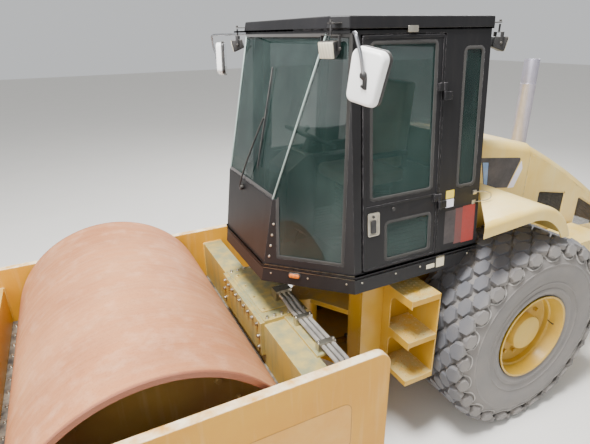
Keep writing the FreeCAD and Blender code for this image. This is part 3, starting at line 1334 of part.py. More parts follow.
def seat_back():
    """The raked back, which stands on the rear of the cushion."""
    rear = CAB_REAR + SEAT_TO_REAR - SEAT_MIDDLE
    low = SEAT_BASE_TOP + SEAT_CUSHION + SEAT_GAP
    top = low + SEAT_BACK_HEIGHT
    corners = [(rear, low, SEAT_EDGE), (rear + SEAT_BACK_WALL, low, SEAT_EDGE),
               (rear + SEAT_BACK_WALL - SEAT_BACK_RAKE, top, SEAT_EDGE),
               (rear - SEAT_BACK_RAKE, top, SEAT_EDGE)]
    half = SEAT_HALF - SEAT_BACK_SIDE
    return sheet_xz(corners, -half, half)


def console():
    """The column and dash ahead of the seat."""
    x = CAB_POST - WHEEL_TO_CONSOLE
    front = x + CONSOLE_LENGTH
    top = CAB_SILL + CONSOLE_HEIGHT
    outline = [(x, CAB_SILL, 0), (front, CAB_SILL, 0),
               (front - CONSOLE_TAPER, top - CONSOLE_SLOPE, CONSOLE_TAPER),
               (x + CONSOLE_OVERHANG, top, CONSOLE_TAPER),
               (x - CONSOLE_OVERHANG, top - CONSOLE_KNEE, CONSOLE_OVERHANG)]
    return sheet_xz(outline, -CONSOLE_HALF, CONSOLE_HALF)


def steering_wheel():
    centre = Vector(CAB_POST - 2 * WHEEL_TO_CONSOLE, 0, CAB_SILL + CONSOLE_HEIGHT + WHEEL_TO_CONSOLE)
    lean = math.radians(WHEEL_TILT)
    tilt = Vector(-math.sin(lean), 0, math.cos(lean))
    ring = Part.makeTorus(WHEEL_RADIUS, WHEEL_GRIP_RADIUS, centre, tilt)
    length = WHEEL_COLUMN_LENGTH
    column = Part.makeCylinder(WHEEL_COLUMN_RADIUS, length, centre - tilt * length, tilt)
    half = WHEEL_RADIUS - WHEEL_GRIP_RADIUS / 2
    bar = Part.makeBox(WHEEL_SPOKE_WIDTH, 2 * half, WHEEL_SPOKE_WALL,
                       Vector(-WHEEL_SPOKE_WIDTH / 2, -half, -WHEEL_SPOKE_WALL / 2))
    bar.Placement = FreeCAD.Placement(centre, FreeCAD.Rotation(Vector(0, 0, 1), tilt)).multiply(bar.Placement)
    return fuse([ring, column, bar]).cut(console())


def mirror(side):
    """A mirror's housing on a bent arm that starts at the top of the front post."""
    x = CAB_POST + MIRROR_TO_POST
    y = WIDTH / 2 - MIRROR_WIDTH / 2
    top = MIRROR_MIDDLE + MIRROR_HEIGHT / 2
    outline = window((y - MIRROR_WIDTH / 2, MIRROR_MIDDLE - MIRROR_HEIGHT / 2),
                     (y + MIRROR_WIDTH / 2, top), 40)
    housing = sheet_yz(outline, x - MIRROR_DEPTH / 2, x + MIRROR_DEPTH / 2)
    post = Vector(CAB_POST - CAB_WALL, POST_TOP_HALF - CAB_WALL / 2, top + MIRROR_ARM_RISE)
    elbow = Vector(x, y - MIRROR_ARM_INSET, top + MIRROR_ARM_RISE)
    end = Vector(x, y - MIRROR_ARM_INSET, top - 2 * MIRROR_TUBE_RADIUS)
    arm = fuse([rod(MIRROR_TUBE_RADIUS, post, elbow), Part.makeSphere(MIRROR_TUBE_RADIUS, elbow),
                rod(MIRROR_TUBE_RADIUS, elbow, end)])
    shape = fuse([arm.cut(cab_block(CAB_SILL, CAB_WALL_TOP)), housing])
    return shape if side > 0 else mirrored(shape)


def flat_bar(start, end, width, low, high):
    """A flat bar seen from above, from one point (x, y) to another."""
    start, end = Vector(*start, 0), Vector(*end, 0)
    run = (end - start).normalize()
    aside = Vector(-run.y, run.x, 0) * (width / 2)
    corners = [start + aside, start - aside, end - aside, end + aside]
    return sheet_xy([(point.x, point.y, 0) for point in corners], low, high)


def work_lamps():
    """Square lamps ahead of and behind the cab, on brackets that meet the roof's edge."""
    roof = cab_roof()
    top = CAB_WALL_TOP - LAMP_DROP
    arm_low = (CAB_WALL_TOP + HEIGHT) / 2 - LAMP_BRACKET
    pieces = []
    for x, y, inward in ((CAB_POST + FRONT_LAMP_TO_POST, FRONT_LAMP_PLACE, -1),
                         (CAB_REAR - REAR_LAMP_TO_CAB, REAR_LAMP_PLACE, 1)):
        lamp = box((x - LAMP_HALF, x + LAMP_HALF), (y - LAMP_HALF, y + LAMP_HALF), (top - LAMP_HEIGHT, top))
        hanger = rod(LAMP_BRACKET, (x, y, top - 1), (x, y, arm_low + LAMP_BRACKET))
        arm = flat_bar((x, y), (x + inward * 2 * LAMP_HEIGHT, y - 2 * LAMP_HALF), 3 * LAMP_BRACKET,
                       arm_low, arm_low + LAMP_BRACKET)
        pieces += both(fuse([lamp, hanger, arm.cut(roof)]))
    return pieces


def left_and_right(build):
    """The left and the right piece that one function makes, as separate solids."""
    pieces = []
    for side in (1, -1):
        made = build(side)
        pieces += made if isinstance(made, list) else [made]
    return pieces


NODES = {
    "drum_shell": drum_shell(),
    "drum_heads": drum_heads(),
    "drum_carriers": left_and_right(drum_carrier),
    "carrier_mounts": left_and_right(carrier_mounts),
    "side_plates": left_and_right(side_plate),
    "front_beam": front_beam(),
    "rear_beam": rear_beam(),
    "scrapers": [scraper_front(), scraper_rear()],
    "drum_hoses": drum_hoses(),
    "hose_clamps": hose_clamps(),
    "hitch_yoke": hitch_yoke(),
    "steering_barrel_left": steering_barrel(1),
    "steering_barrel_right": steering_barrel(-1),
    "steering_rod_left": steering_rod(1),
    "steering_rod_right": steering_rod(-1),
    "tyre_left": tyre(1),
    "tyre_right": tyre(-1),
    "rim_left": rim(1),
    "rim_right": rim(-1),
    "rear_axle": rear_axle(),
    "rear_frame": left_and_right(frame_side),
    "frame_plates": frame_plates(),
    "frame_deck": frame_deck(),
    "frame_brackets": frame_brackets(),
    "hitch_ears": hitch_ears(),
    "steps": left_and_right(steps),
    "rear_bumper": rear_bumper(),
    "side_boxes": left_and_right(side_box),
    "fenders": left_and_right(fender),
    "hood": hood(),
    "hood_sides": hood_sides(),
    "hood_grilles": hood_grilles(),
    "cowl": cowl(),
    "exhaust": exhaust(),
    "engine": engine(),
    "cab_floor": cab_floor(),
    "cab_frame": cab_frame(),
    "cab_roof": cab_roof(),
    "cab_glass": cab_glass(),
    "door_left": door(1),
    "door_right": door(-1),
    "door_glass_left": door_glass(1),
    "door_glass_right": door_glass(-1),
    "cab_mounts": cab_mounts(),
    "seat_base": seat_base(),
    "seat_cushion": seat_cushion(),
    "seat_back": seat_back(),
    "console": console(),
    "steering_wheel": steering_wheel(),
    "mirrors": left_and_right(mirror),
    "work_lamps": work_lamps(),
}

os.makedirs("parts", exist_ok=True)
for node, shape in NODES.items():
    if isinstance(shape, list):
        shape = Part.makeCompound(shape)
    shape.exportStep("parts/" + node + ".step")
    print(node, len(shape.Solids), shape.isValid(), round(shape.Volume / 1e6, 2))
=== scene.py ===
"""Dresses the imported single-drum road roller: paint, rubber, glass, fittings and trim."""

import logging
import math
from dataclasses import dataclass, field
from enum import Enum
from typing import Any, Iterable, Optional, Sequence

import bmesh
import bpy
from bpy.types import Material, NodeTree, Object
from mathutils import Matrix, Vector


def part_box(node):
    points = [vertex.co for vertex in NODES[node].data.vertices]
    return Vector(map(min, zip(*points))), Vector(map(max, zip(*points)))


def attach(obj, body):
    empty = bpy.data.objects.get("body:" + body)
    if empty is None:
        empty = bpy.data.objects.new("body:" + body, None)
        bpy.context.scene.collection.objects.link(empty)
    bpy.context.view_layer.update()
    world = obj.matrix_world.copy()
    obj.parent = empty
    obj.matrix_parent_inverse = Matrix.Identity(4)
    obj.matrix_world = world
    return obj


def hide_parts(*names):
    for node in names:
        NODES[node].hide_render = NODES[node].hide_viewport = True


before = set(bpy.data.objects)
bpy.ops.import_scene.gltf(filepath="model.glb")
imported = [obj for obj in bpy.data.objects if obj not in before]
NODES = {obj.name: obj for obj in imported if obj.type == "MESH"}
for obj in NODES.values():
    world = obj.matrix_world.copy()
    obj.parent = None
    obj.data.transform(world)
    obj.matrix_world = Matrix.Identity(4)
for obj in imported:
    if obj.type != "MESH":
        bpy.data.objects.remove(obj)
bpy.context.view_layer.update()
LOG = logging.getLogger("roller")

MM = 0.001
MIRROR = Matrix.Scale(-1.0, 4, (0.0, 1.0, 0.0))
Point = Sequence[float]
Corner = tuple[float, float, float]


class Side(Enum):
    """The two sides of the machine, as the sign of Y."""

    LEFT = 1
    RIGHT = -1

    @property
    def word(self) -> str:
        """The side's name as the nodes and bodies use it."""
        return self.name.lower()

    @property
    def turn(self) -> Matrix:
        """The matrix that takes a left-hand shape to this side."""
        return Matrix() if self is Side.LEFT else MIRROR


# Shapes

def soften(mesh: bmesh.types.BMesh, width: float, segments: int = 2, angle: float = 0.6) -> bmesh.types.BMesh:
    """Rounds every edge of a mesh that turns by more than an angle.

    Args:
        mesh: the mesh to change.
        width: how far the rounding reaches, in metres.
        segments: how many faces the rounding has.
        angle: the least turn between two faces, in radians.

    Returns:
        The same mesh.
    """
    if width > 0.0:
        mesh.normal_update()
        sharp = [edge for edge in mesh.edges if edge.is_manifold and edge.calc_face_angle(0.0) > angle]
        bmesh.ops.bevel(mesh, geom=sharp, offset=width, offset_type="OFFSET", segments=segments, profile=0.5,
                        affect="EDGES", clamp_overlap=True, material=-1)
    return mesh


def block(size: Point, edge: float = 0.0, segments: int = 2) -> bmesh.types.BMesh:
    """A block about the origin.

    Args:
        size: its three lengths.
        edge: the rounding of its edges.
        segments: the faces of that rounding.

    Returns:
        The mesh.
    """
    mesh = bmesh.new()
    bmesh.ops.create_cube(mesh, size=1.0)
    bmesh.ops.scale(mesh, vec=Vector(size), verts=mesh.verts)
    return soften(mesh, edge, segments)


def bar(radius: float, length: float, edge: float = 0.0, steps: int = 24, tip: Optional[float] = None) -> bmesh.types.BMesh:
    """A round or many-sided bar from the origin along Z.

    Args:
        radius: the radius at its foot.
        length: how long it is.
        edge: the rounding of its end rims.
        steps: the sides of its section.
        tip: the radius at its far end, if that differs.

    Returns:
        The mesh.
    """
    mesh = bmesh.new()
    bmesh.ops.create_cone(mesh, cap_ends=True, segments=steps, radius1=radius,
                          radius2=radius if tip is None else tip, depth=length)
    bmesh.ops.translate(mesh, vec=(0.0, 0.0, length / 2), verts=mesh.verts)
    return soften(mesh, edge, 2, 1.1)


def lathe(profile: Iterable[Point], steps: int = 64, closed: bool = False) -> bmesh.types.BMesh:
    """A body of revolution about Z.

    Args:
        profile: its (radius, height) points in order.
        steps: the sides of a full turn.
        closed: whether the last point joins the first.

    Returns:
        The mesh, with its faces outwards.
    """
    mesh = bmesh.new()
    points = [mesh.verts.new((radius, 0.0, height)) for radius, height in profile]
    pairs = list(zip(points, points[1:])) + ([(points[-1], points[0])] if closed else [])
    edges = [mesh.edges.new(pair) for pair in pairs]
    bmesh.ops.spin(mesh, geom=points + edges, axis=(0.0, 0.0, 1.0), cent=(0.0, 0.0, 0.0), angle=math.tau,
                   steps=steps, use_merge=True)
    bmesh.ops.remove_doubles(mesh, verts=mesh.verts, dist=1e-5)
    bmesh.ops.recalc_face_normals(mesh, faces=mesh.faces)
    return mesh


def rounded_face(outline: Sequence[Corner], steps: int = 5) -> bmesh.types.BMesh:
    """One flat face through (x, y, corner reach) points, with its corners rounded.

    Args:
        outline: the corners, and how far each rounding reaches along the sides.
        steps: the sides of each rounding.

    Returns:
        The mesh, facing +Z.
    """
    mesh = bmesh.new()
    points = [mesh.verts.new((x, y, 0.0)) for x, y, _ in outline]
    mesh.faces.new(points)
    for reach in sorted({reach for _, _, reach in outline if reach > 0.0}):
        group = [vertex for vertex, corner in zip(points, outline) if corner[2] == reach]
        bmesh.ops.bevel(mesh, geom=group, offset=reach, offset_type="OFFSET", segments=steps, profile=0.5,
                        affect="VERTICES", material=-1)
    mesh.normal_update()
    if mesh.faces[:][0].normal.z < 0.0:
        bmesh.ops.reverse_faces(mesh, faces=mesh.faces)
    return mesh


def raise_faces(mesh: bmesh.types.BMesh, rise: Vector, edge: float = 0.0) -> bmesh.types.BMesh:
    """Extrudes all faces of an open mesh into a closed body.

    Args:
        mesh: flat faces with open borders.
        rise: how far and which way they go.
        edge: the rounding of the body's edges.

    Returns:
        The same mesh.
    """
    lifted = bmesh.ops.extrude_face_region(mesh, geom=mesh.faces[:])["geom"]
    bmesh.ops.translate(mesh, vec=rise, verts=[item for item in lifted if isinstance(item, bmesh.types.BMVert)])
    bmesh.ops.recalc_face_normals(mesh, faces=mesh.faces)
    return soften(mesh, edge)


def plate(outline: Sequence[Corner], thickness: float, edge: float = 0.0, steps: int = 5) -> bmesh.types.BMesh:
    """A flat plate of a rounded outline, from Z 0 upwards.

    Args:
        outline: (x, y, corner reach) points.
        thickness: how thick it is.
        edge: the rounding of its edges.
        steps: the sides of each corner.

    Returns:
        The mesh.
    """
    return raise_faces(rounded_face(outline, steps), Vector((0.0, 0.0, thickness)), edge)


def rim_of(outline: Sequence[Corner], width: float, thickness: float, edge: float = 0.0) -> bmesh.types.BMesh:
    """A flat ring along the inside of a rounded outline.

    Args:
        outline: (x, y, corner reach) points.
        width: how wide the ring is.
        thickness: how thick it is.
        edge: the rounding of its edges.

    Returns:
        The mesh.
    """
    mesh = rounded_face(outline)
    middle = mesh.faces[:]
    bmesh.ops.inset_region(mesh, faces=middle, thickness=width, use_boundary=True, use_even_offset=True)
    bmesh.ops.delete(mesh, geom=middle, context="FACES")
    return raise_faces(mesh, Vector((0.0, 0.0, thickness)), edge)


def oblong(low: Point, high: Point, reach: float) -> list[Corner]:
    """The outline of a rounded rectangle between two (x, y) points."""
    return [(low[0], low[1], reach), (high[0], low[1], reach), (high[0], high[1], reach), (low[0], high[1], reach)]


def hexagon_head(across: float, height: float) -> bmesh.types.BMesh:
    """A hexagon head on a washer, from Z 0 upwards.

    Args:
        across: the width across its flats.
        height: the head's height.

    Returns:
        The mesh.
    """
    washer = 0.18 * across
    mesh = bmesh.new()
    for radius, low, high, steps in ((across * 0.72, 0.0, washer, 16), (across * 0.577, washer, washer + height, 6)):
        made = bmesh.ops.create_cone(mesh, cap_ends=True, segments=steps, radius1=radius, radius2=radius,
                                     depth=high - low)["verts"]
        bmesh.ops.translate(mesh, vec=(0.0, 0.0, (low + high) / 2), verts=made)
    return soften(mesh, 0.06 * across, 1, 0.9)


def swept(points: Sequence[Point], radius: float, sides: int = 3) -> bmesh.types.BMesh:
    """A round bar along a smooth line.

    Args:
        points: the control points of the line.
        radius: the bar's radius.
        sides: the finish of its section, as a curve's bevel resolution.

    Returns:
        The mesh, closed at both ends.
    """
    curve = bpy.data.curves.new("swept", "CURVE")
    curve.dimensions = "3D"
    curve.bevel_depth = radius
    curve.bevel_resolution = sides
    curve.use_fill_caps = True
    curve.resolution_u = 8
    line = curve.splines.new("NURBS")
    line.points.add(len(points) - 1)
    for place, point in zip(line.points, points):
        place.co = (*point, 1.0)
    line.order_u = min(3, len(points))
    line.use_endpoint_u = True
    holder = bpy.data.objects.new("swept", curve)
    made = bpy.data.meshes.new_from_object(holder)
    mesh = bmesh.new()
    mesh.from_mesh(made)
    bmesh.ops.remove_doubles(mesh, verts=mesh.verts, dist=1e-6)
    bmesh.ops.recalc_face_normals(mesh, faces=mesh.faces)
    bpy.data.objects.remove(holder)
    bpy.data.curves.remove(curve)
    bpy.data.meshes.remove(made)
    return mesh


def aim(point: Point, direction: Point, spin: float = 0.0) -> Matrix:
    """The matrix that sets a shape's origin on a point and its Z along a direction.

    Args:
        point: where the origin goes.
        direction: where Z points.
        spin: a turn about that direction, in radians.

    Returns:
        The matrix.
    """
    turned = Vector(direction).normalized().to_track_quat("Z", "Y").to_matrix().to_4x4()
    return Matrix.Translation(Vector(point)) @ turned @ Matrix.Rotation(spin, 4, "Z")


def between(low: Point, high: Point) -> tuple[Vector, Matrix]:
    """The size of a box between two corners, and the matrix to its middle."""
    low, high = Vector(low), Vector(high)
    return high - low, Matrix.Translation((low + high) / 2)


class Form:
    """A mesh that grows shape by shape, each set in its place as it comes."""

    def __init__(self) -> None:
        """Starts with nothing."""
        self.mesh = bmesh.new()

    def add(self, shape: bmesh.types.BMesh, place: Matrix = Matrix()) -> "Form":
        """Adds a shape and uses it up.

        Args:
            shape: the mesh to add.
            place: its matrix, which may mirror it.

        Returns:
            This form.
        """
        shape.transform(place)
        if place.determinant() < 0.0:
            bmesh.ops.reverse_faces(shape, faces=shape.faces)
        spare = bpy.data.meshes.new("spare")
        shape.to_mesh(spare)
        shape.free()
        self.mesh.from_mesh(spare)
        bpy.data.meshes.remove(spare)
        return self

    def box(self, low: Point, high: Point, edge: float = 0.0, place: Matrix = Matrix()) -> "Form":
        """Adds a block between two corners, with its edges rounded."""
        size, middle = between(low, high)
        return self.add(block(size, edge), place @ middle)

    def bolts(self, points: Iterable[Point], direction: Point, across: float, height: float,
              place: Matrix = Matrix()) -> "Form":
        """Adds a hexagon head at each point, each turned a little differently."""
        for index, point in enumerate(points):
            self.add(hexagon_head(across, height), place @ aim(point, direction, 0.7 * index))
        return self

    def mirror(self) -> "Form":
        """Adds the mirror image of all that is there."""
        twin = self.mesh.copy()
        return self.add(twin, MIRROR)


# Node trees and finishes

def colour(code: str) -> tuple[float, float, float, float]:
    """The linear colour of an sRGB hex code such as C8A040."""
    parts = [int(code[index:index + 2], 16) / 255 for index in (0, 2, 4)]
    linear = [part / 12.92 if part <= 0.04045 else ((part + 0.055) / 1.055) ** 2.4 for part in parts]
    return (linear[0], linear[1], linear[2], 1.0)


def add_node(tree: NodeTree, kind: str, settings: Optional[dict[str, Any]] = None,
             inputs: Optional[dict[Any, Any]] = None, stops: Sequence[tuple[float, Any]] = ()) -> Any:
    """Adds a node with its settings and links.

    Args:
        tree: the node tree.
        kind: the node's type.
        settings: its properties by name.
        inputs: what each input takes, a socket to link or a value, by name or number.
        stops: a ramp's places and colours.

    Returns:
        The node.
    """
    node = tree.nodes.new(kind)
    for name, value in (settings or {}).items():
        setattr(node, name, value)
    for key, value in (inputs or {}).items():
        if isinstance(value, bpy.types.NodeSocket):
            tree.links.new(value, node.inputs[key])
        else:
            node.inputs[key].default_value = value
    for index, (place, shade) in enumerate(stops):
        steps = node.color_ramp.elements
        step = steps[index] if index < len(steps) else steps.new(place)
        step.position = place
        step.color = shade if not isinstance(shade, float) else (shade, shade, shade, 1.0)
    return node


class Finish:
    """What all finishes share: a material with one surface shader and object coordinates."""

    name: str
    slot: str

    def dress(self, tree: NodeTree, surface: Any, place: Any) -> None:
        """Adds the finish's own nodes; each finish has its own."""
        raise NotImplementedError

    def material(self) -> Material:
        """The finish's material, made once.

        Returns:
            The material.
        """
        found = bpy.data.materials.get(self.name)
        if found is None:
            found = bpy.data.materials.new(self.name)
            found.use_nodes = True
            tree = found.node_tree
            tree.nodes.clear()
            surface = add_node(tree, "ShaderNodeBsdfPrincipled")
            add_node(tree, "ShaderNodeOutputMaterial", None, {"Surface": surface.outputs[0]})
            place = add_node(tree, "ShaderNodeTexCoord")
            self.dress(tree, surface, place)
        return found


def stretched(tree: NodeTree, place: Any, scale: Point, origin: Point = (0.0, 0.0, 0.0)) -> Any:
    """Object coordinates, moved to an origin and scaled apart along the three axes."""
    moved = add_node(tree, "ShaderNodeVectorMath", {"operation": "SUBTRACT"}, {0: place.outputs["Object"], 1: origin})
    return add_node(tree, "ShaderNodeMapping", None, {"Vector": moved.outputs[0], "Scale": scale}).outputs[0]


def patches(tree: NodeTree, vector: Any, size: float, low: float, high: float, detail: float = 4.0) -> Any:
    """A soft mask with patches of a real size.

    Args:
        tree: the node tree.
        vector: the coordinates.
        size: the patches' size in metres.
        low: the noise level where the mask starts.
        high: the noise level where it is full.
        detail: the noise's octaves.

    Returns:
        The mask's socket.
    """
    noise = add_node(tree, "ShaderNodeTexNoise", None,
                     {"Vector": vector, "Scale": 1.0 / size, "Detail": detail, "Roughness": 0.55})
    return add_node(tree, "ShaderNodeMapRange", None,
                    {"Value": noise.outputs[0], "From Min": low, "From Max": high}).outputs[0]


def blend(tree: NodeTree, factor: Any, first: Any, second: Any) -> Any:
    """Two colours, mixed by a mask."""
    return add_node(tree, "ShaderNodeMix", {"data_type": "RGBA"}, {0: factor, 6: first, 7: second}).outputs[2]


def times(tree: NodeTree, first: Any, second: Any) -> Any:
    """Two masks multiplied and kept from 0 to 1."""
    return add_node(tree, "ShaderNodeMath", {"operation": "MULTIPLY", "use_clamp": True}, {0: first, 1: second}).outputs[0]


def edges_and_rounding(tree: NodeTree, radius: float, low: float = 0.03, high: float = 0.25) -> tuple[Any, Any]:
    """A mask of the edges of a piece, and the normal that rounds them.

    Args:
        tree: the node tree.
        radius: how far from an edge the mask reaches, in metres.
        low: the turn where it starts.
        high: the turn where it is full.

    Returns:
        The mask and the normal.
    """
    rounded = add_node(tree, "ShaderNodeBevel", {"samples": 4}, {"Radius": radius})
    plain = add_node(tree, "ShaderNodeNewGeometry")
    match = add_node(tree, "ShaderNodeVectorMath", {"operation": "DOT_PRODUCT"},
                     {0: rounded.outputs[0], 1: plain.outputs["Normal"]})
    mask = add_node(tree, "ShaderNodeMapRange", None,
                    {"Value": match.outputs["Value"], "From Min": 1.0 - low, "From Max": 1.0 - high})
    return mask.outputs[0], rounded.outputs[0]


def settled(tree: NodeTree, place: Any, low: float = 0.25, high: float = 0.95) -> Any:
    """A mask of the faces that look up at rest, where dust settles."""
    parts = add_node(tree, "ShaderNodeSeparateXYZ", None, {0: place.outputs["Normal"]})
    return add_node(tree, "ShaderNodeMapRange", None,
                    {"Value": parts.outputs[2], "From Min": low, "From Max": high}).outputs[0]


def relief(tree: NodeTree, height: Any, distance: float, strength: float = 1.0, normal: Any = None) -> Any:
    """A bump normal from a height mask."""
    inputs = {"Height": height, "Distance": distance, "Strength": strength}
    if normal is not None:
        inputs["Normal"] = normal
    return add_node(tree, "ShaderNodeBump", None, inputs).outputs[0]


@dataclass(frozen=True)
class Paint(Finish):
    """Two-pack enamel sprayed on steel: faded in patches, dusty on top, thin and pale on its edges, where on the side
    plates and the cab the paleness is also a painted highlight.
    """

    name: str
    slot: str
    clean: str
    faded: str
    bare_and_highlight: str
    dust: str
    dusty: float = 0.5
    rough: float = 0.42
    coat: float = 0.25
    pale_edge_width: float = 6 * MM
    stains: float = 0.35
    gloss: float = 0.5

    def dress(self, tree: NodeTree, surface: Any, place: Any) -> None:
        """Mixes fading, runs of dirt, dust and pale worn edges, on some paints partly a painted highlight, with an
        orange-peel skin.
        """
        whole = stretched(tree, place, (1.0, 1.0, 1.0))
        runs = stretched(tree, place, (1.0, 1.0, 0.08))
        fading = patches(tree, whole, 0.42, 0.35, 0.68)
        skin = blend(tree, fading, colour(self.clean), colour(self.faded))
        # Rain draws dirt down in runs about 30 mm wide.
        streaks = times(tree, patches(tree, runs, 0.05, 0.52, 0.74), self.stains)
        skin = blend(tree, streaks, skin, colour(self.dust))
        grit = patches(tree, whole, 0.09, 0.30, 0.62, 8.0)
        cover = times(tree, times(tree, settled(tree, place), grit), self.dusty)
        skin = blend(tree, cover, skin, colour(self.dust))
        # Pale chipped edges: real wear, and on the side plates and the cab also a painted edge highlight.
        edge, rounded = edges_and_rounding(tree, self.pale_edge_width)
        chips_and_highlight = times(tree, edge, patches(tree, whole, 0.035, 0.40, 0.56, 6.0))
        skin = blend(tree, times(tree, chips_and_highlight, 0.85), skin, colour(self.bare_and_highlight))
        tree.links.new(skin, surface.inputs["Base Color"])
        sheen = add_node(tree, "ShaderNodeMapRange", None,
                         {"Value": cover, "To Min": self.rough, "To Max": 0.85}).outputs[0]
        tree.links.new(sheen, surface.inputs["Roughness"])
        # Orange peel of sprayed enamel, 4 mm from crest to crest.
        peel = add_node(tree, "ShaderNodeTexNoise", None, {"Vector": whole, "Scale": 1 / (4 * MM), "Detail": 1.0})
        peeled = relief(tree, peel.outputs[0], 0.08 * MM, 0.5, rounded)
        tree.links.new(relief(tree, grit, 0.25 * MM, 0.5, peeled), surface.inputs["Normal"])
        surface.inputs["Specular IOR Level"].default_value = self.gloss
        surface.inputs["Coat Weight"].default_value = self.coat
        surface.inputs["Coat Roughness"].default_value = 0.25


@dataclass(frozen=True)
class RolledSteel(Finish):
    """A rolled steel shell: polished by the ground in bands, with a thin even bloom of rust."""

    name: str
    slot: str
    centre: Point
    half: float

    def dress(self, tree: NodeTree, surface: Any, place: Any) -> None:
        """Mixes rust tones in bands round the drum, with pits and a dark rim."""
        whole = stretched(tree, place, (1.0, 1.0, 1.0), self.centre)
        bands = stretched(tree, place, (0.10, 1.0, 0.10), self.centre)
        # Rust has about 0.4 m clouds, and the ground's polish runs in 30 mm bands.
        cloud = patches(tree, whole, 0.55, 0.30, 0.70, 6.0)
        polish = patches(tree, bands, 0.045, 0.38, 0.66, 3.0)
        speck = patches(tree, whole, 0.012, 0.50, 0.68, 6.0)
        scuffs = patches(tree, whole, 0.10, 0.50, 0.72, 8.0)
        rust = blend(tree, cloud, colour("C98B60"), colour("AD6D45"))
        rust = blend(tree, times(tree, polish, 0.20), rust, colour("DFAC86"))
        rust = blend(tree, times(tree, scuffs, 0.28), rust, colour("E3BA9A"))
        rust = blend(tree, times(tree, speck, 0.25), rust, colour("8C5740"))
        parts = add_node(tree, "ShaderNodeSeparateXYZ", None, {0: whole})
        aside = add_node(tree, "ShaderNodeMath", {"operation": "ABSOLUTE"}, {0: parts.outputs[1]})
        rim = add_node(tree, "ShaderNodeMapRange", None, {"Value": aside.outputs[0], "From Min": self.half - 0.020,
                                                          "From Max": self.half - 0.002}).outputs[0]
        rust = blend(tree, times(tree, rim, 0.85), rust, colour("7C4632"))
        tree.links.new(rust, surface.inputs["Base Color"])
        gloss = add_node(tree, "ShaderNodeMapRange", None, {"Value": polish, "To Min": 0.62, "To Max": 0.42})
        tree.links.new(gloss.outputs[0], surface.inputs["Roughness"])
        tree.links.new(relief(tree, speck, -0.25 * MM, 0.6, relief(tree, polish, 0.10 * MM)),
                       surface.inputs["Normal"])
        surface.inputs["Metallic"].default_value = 0.20


@dataclass(frozen=True)
class Rubber(Finish):
    """Carbon-black rubber, moulded and matt, greyed by dust that lies deepest away from the tread."""

    name: str
    slot: str
    dark: str
    dust: str
    dusty: float = 0.4
    axle: Optional[Point] = None
    tread: float = 0.0

    def dress(self, tree: NodeTree, surface: Any, place: Any) -> None:
        """Mixes the black with dust by patches, and on a tyre by the distance from its axle."""
        whole = stretched(tree, place, (1.0, 1.0, 1.0))
        grit = patches(tree, whole, 0.16, 0.10, 0.90, 3.0)
        cover = times(tree, grit, self.dusty)
        if self.axle is not None:
            around = stretched(tree, place, (1.0, 0.0, 1.0), self.axle)
            reach = add_node(tree, "ShaderNodeVectorMath", {"operation": "LENGTH"}, {0: around}).outputs["Value"]
            depth = add_node(tree, "ShaderNodeMapRange", None, {"Value": reach, "From Min": self.tread - 0.045,
                                                                "From Max": self.tread - 0.008,
                                                                "To Min": 1.0, "To Max": 0.0}).outputs[0]
            cover = add_node(tree, "ShaderNodeMath", {"operation": "MULTIPLY_ADD", "use_clamp": True},
                             {0: depth, 1: 0.40, 2: cover}).outputs[0]
        edge, rounded = edges_and_rounding(tree, 2 * MM)
        skin = blend(tree, cover, colour(self.dark), colour(self.dust))
        skin = blend(tree, times(tree, edge, self.dusty), skin, colour(self.dust))
        tree.links.new(skin, surface.inputs["Base Color"])
        # The moulded skin has a 2 mm grain.
        grain = add_node(tree, "ShaderNodeTexNoise", None, {"Vector": whole, "Scale": 1 / (2 * MM), "Detail": 3.0})
        tree.links.new(relief(tree, grain.outputs[0], 0.2 * MM, 0.5, rounded), surface.inputs["Normal"])
        surface.inputs["Roughness"].default_value = 0.82
        surface.inputs["Sheen Weight"].default_value = 0.15
        surface.inputs["Sheen Roughness"].default_value = 0.5


@dataclass(frozen=True)
class Metal(Finish):
    """Bare or plated metal: chrome, zinc or aluminised steel, with fine scratches and a film of dirt."""

    name: str
    slot: str
    clean: str
    dirt: str
    rough: float = 0.25
    dirty: float = 0.3
    grain: Point = (1.0, 1.0, 1.0)
    metallic: float = 1.0

    def dress(self, tree: NodeTree, surface: Any, place: Any) -> None:
        """Mixes the metal with dirt, and draws fine scratches along its grain."""
        whole = stretched(tree, place, (1.0, 1.0, 1.0))
        drawn = stretched(tree, place, self.grain)
        film = times(tree, patches(tree, whole, 0.06, 0.35, 0.70, 6.0), self.dirty)
        skin = blend(tree, film, colour(self.clean), colour(self.dirt))
        tree.links.new(skin, surface.inputs["Base Color"])
        # Scratches are 1 mm apart, coarser than the real ones, to show at all.
        lines = add_node(tree, "ShaderNodeTexNoise", None, {"Vector": drawn, "Scale": 1 / MM, "Detail": 2.0})
        haze = add_node(tree, "ShaderNodeMapRange", None, {"Value": lines.outputs[0], "To Min": self.rough - 0.08,
                                                           "To Max": self.rough + 0.12}).outputs[0]
        tree.links.new(haze, surface.inputs["Roughness"])
        tree.links.new(relief(tree, lines.outputs[0], 0.04 * MM, 0.5, edges_and_rounding(tree, 1.5 * MM)[1]),
                       surface.inputs["Normal"])
        surface.inputs["Metallic"].default_value = self.metallic


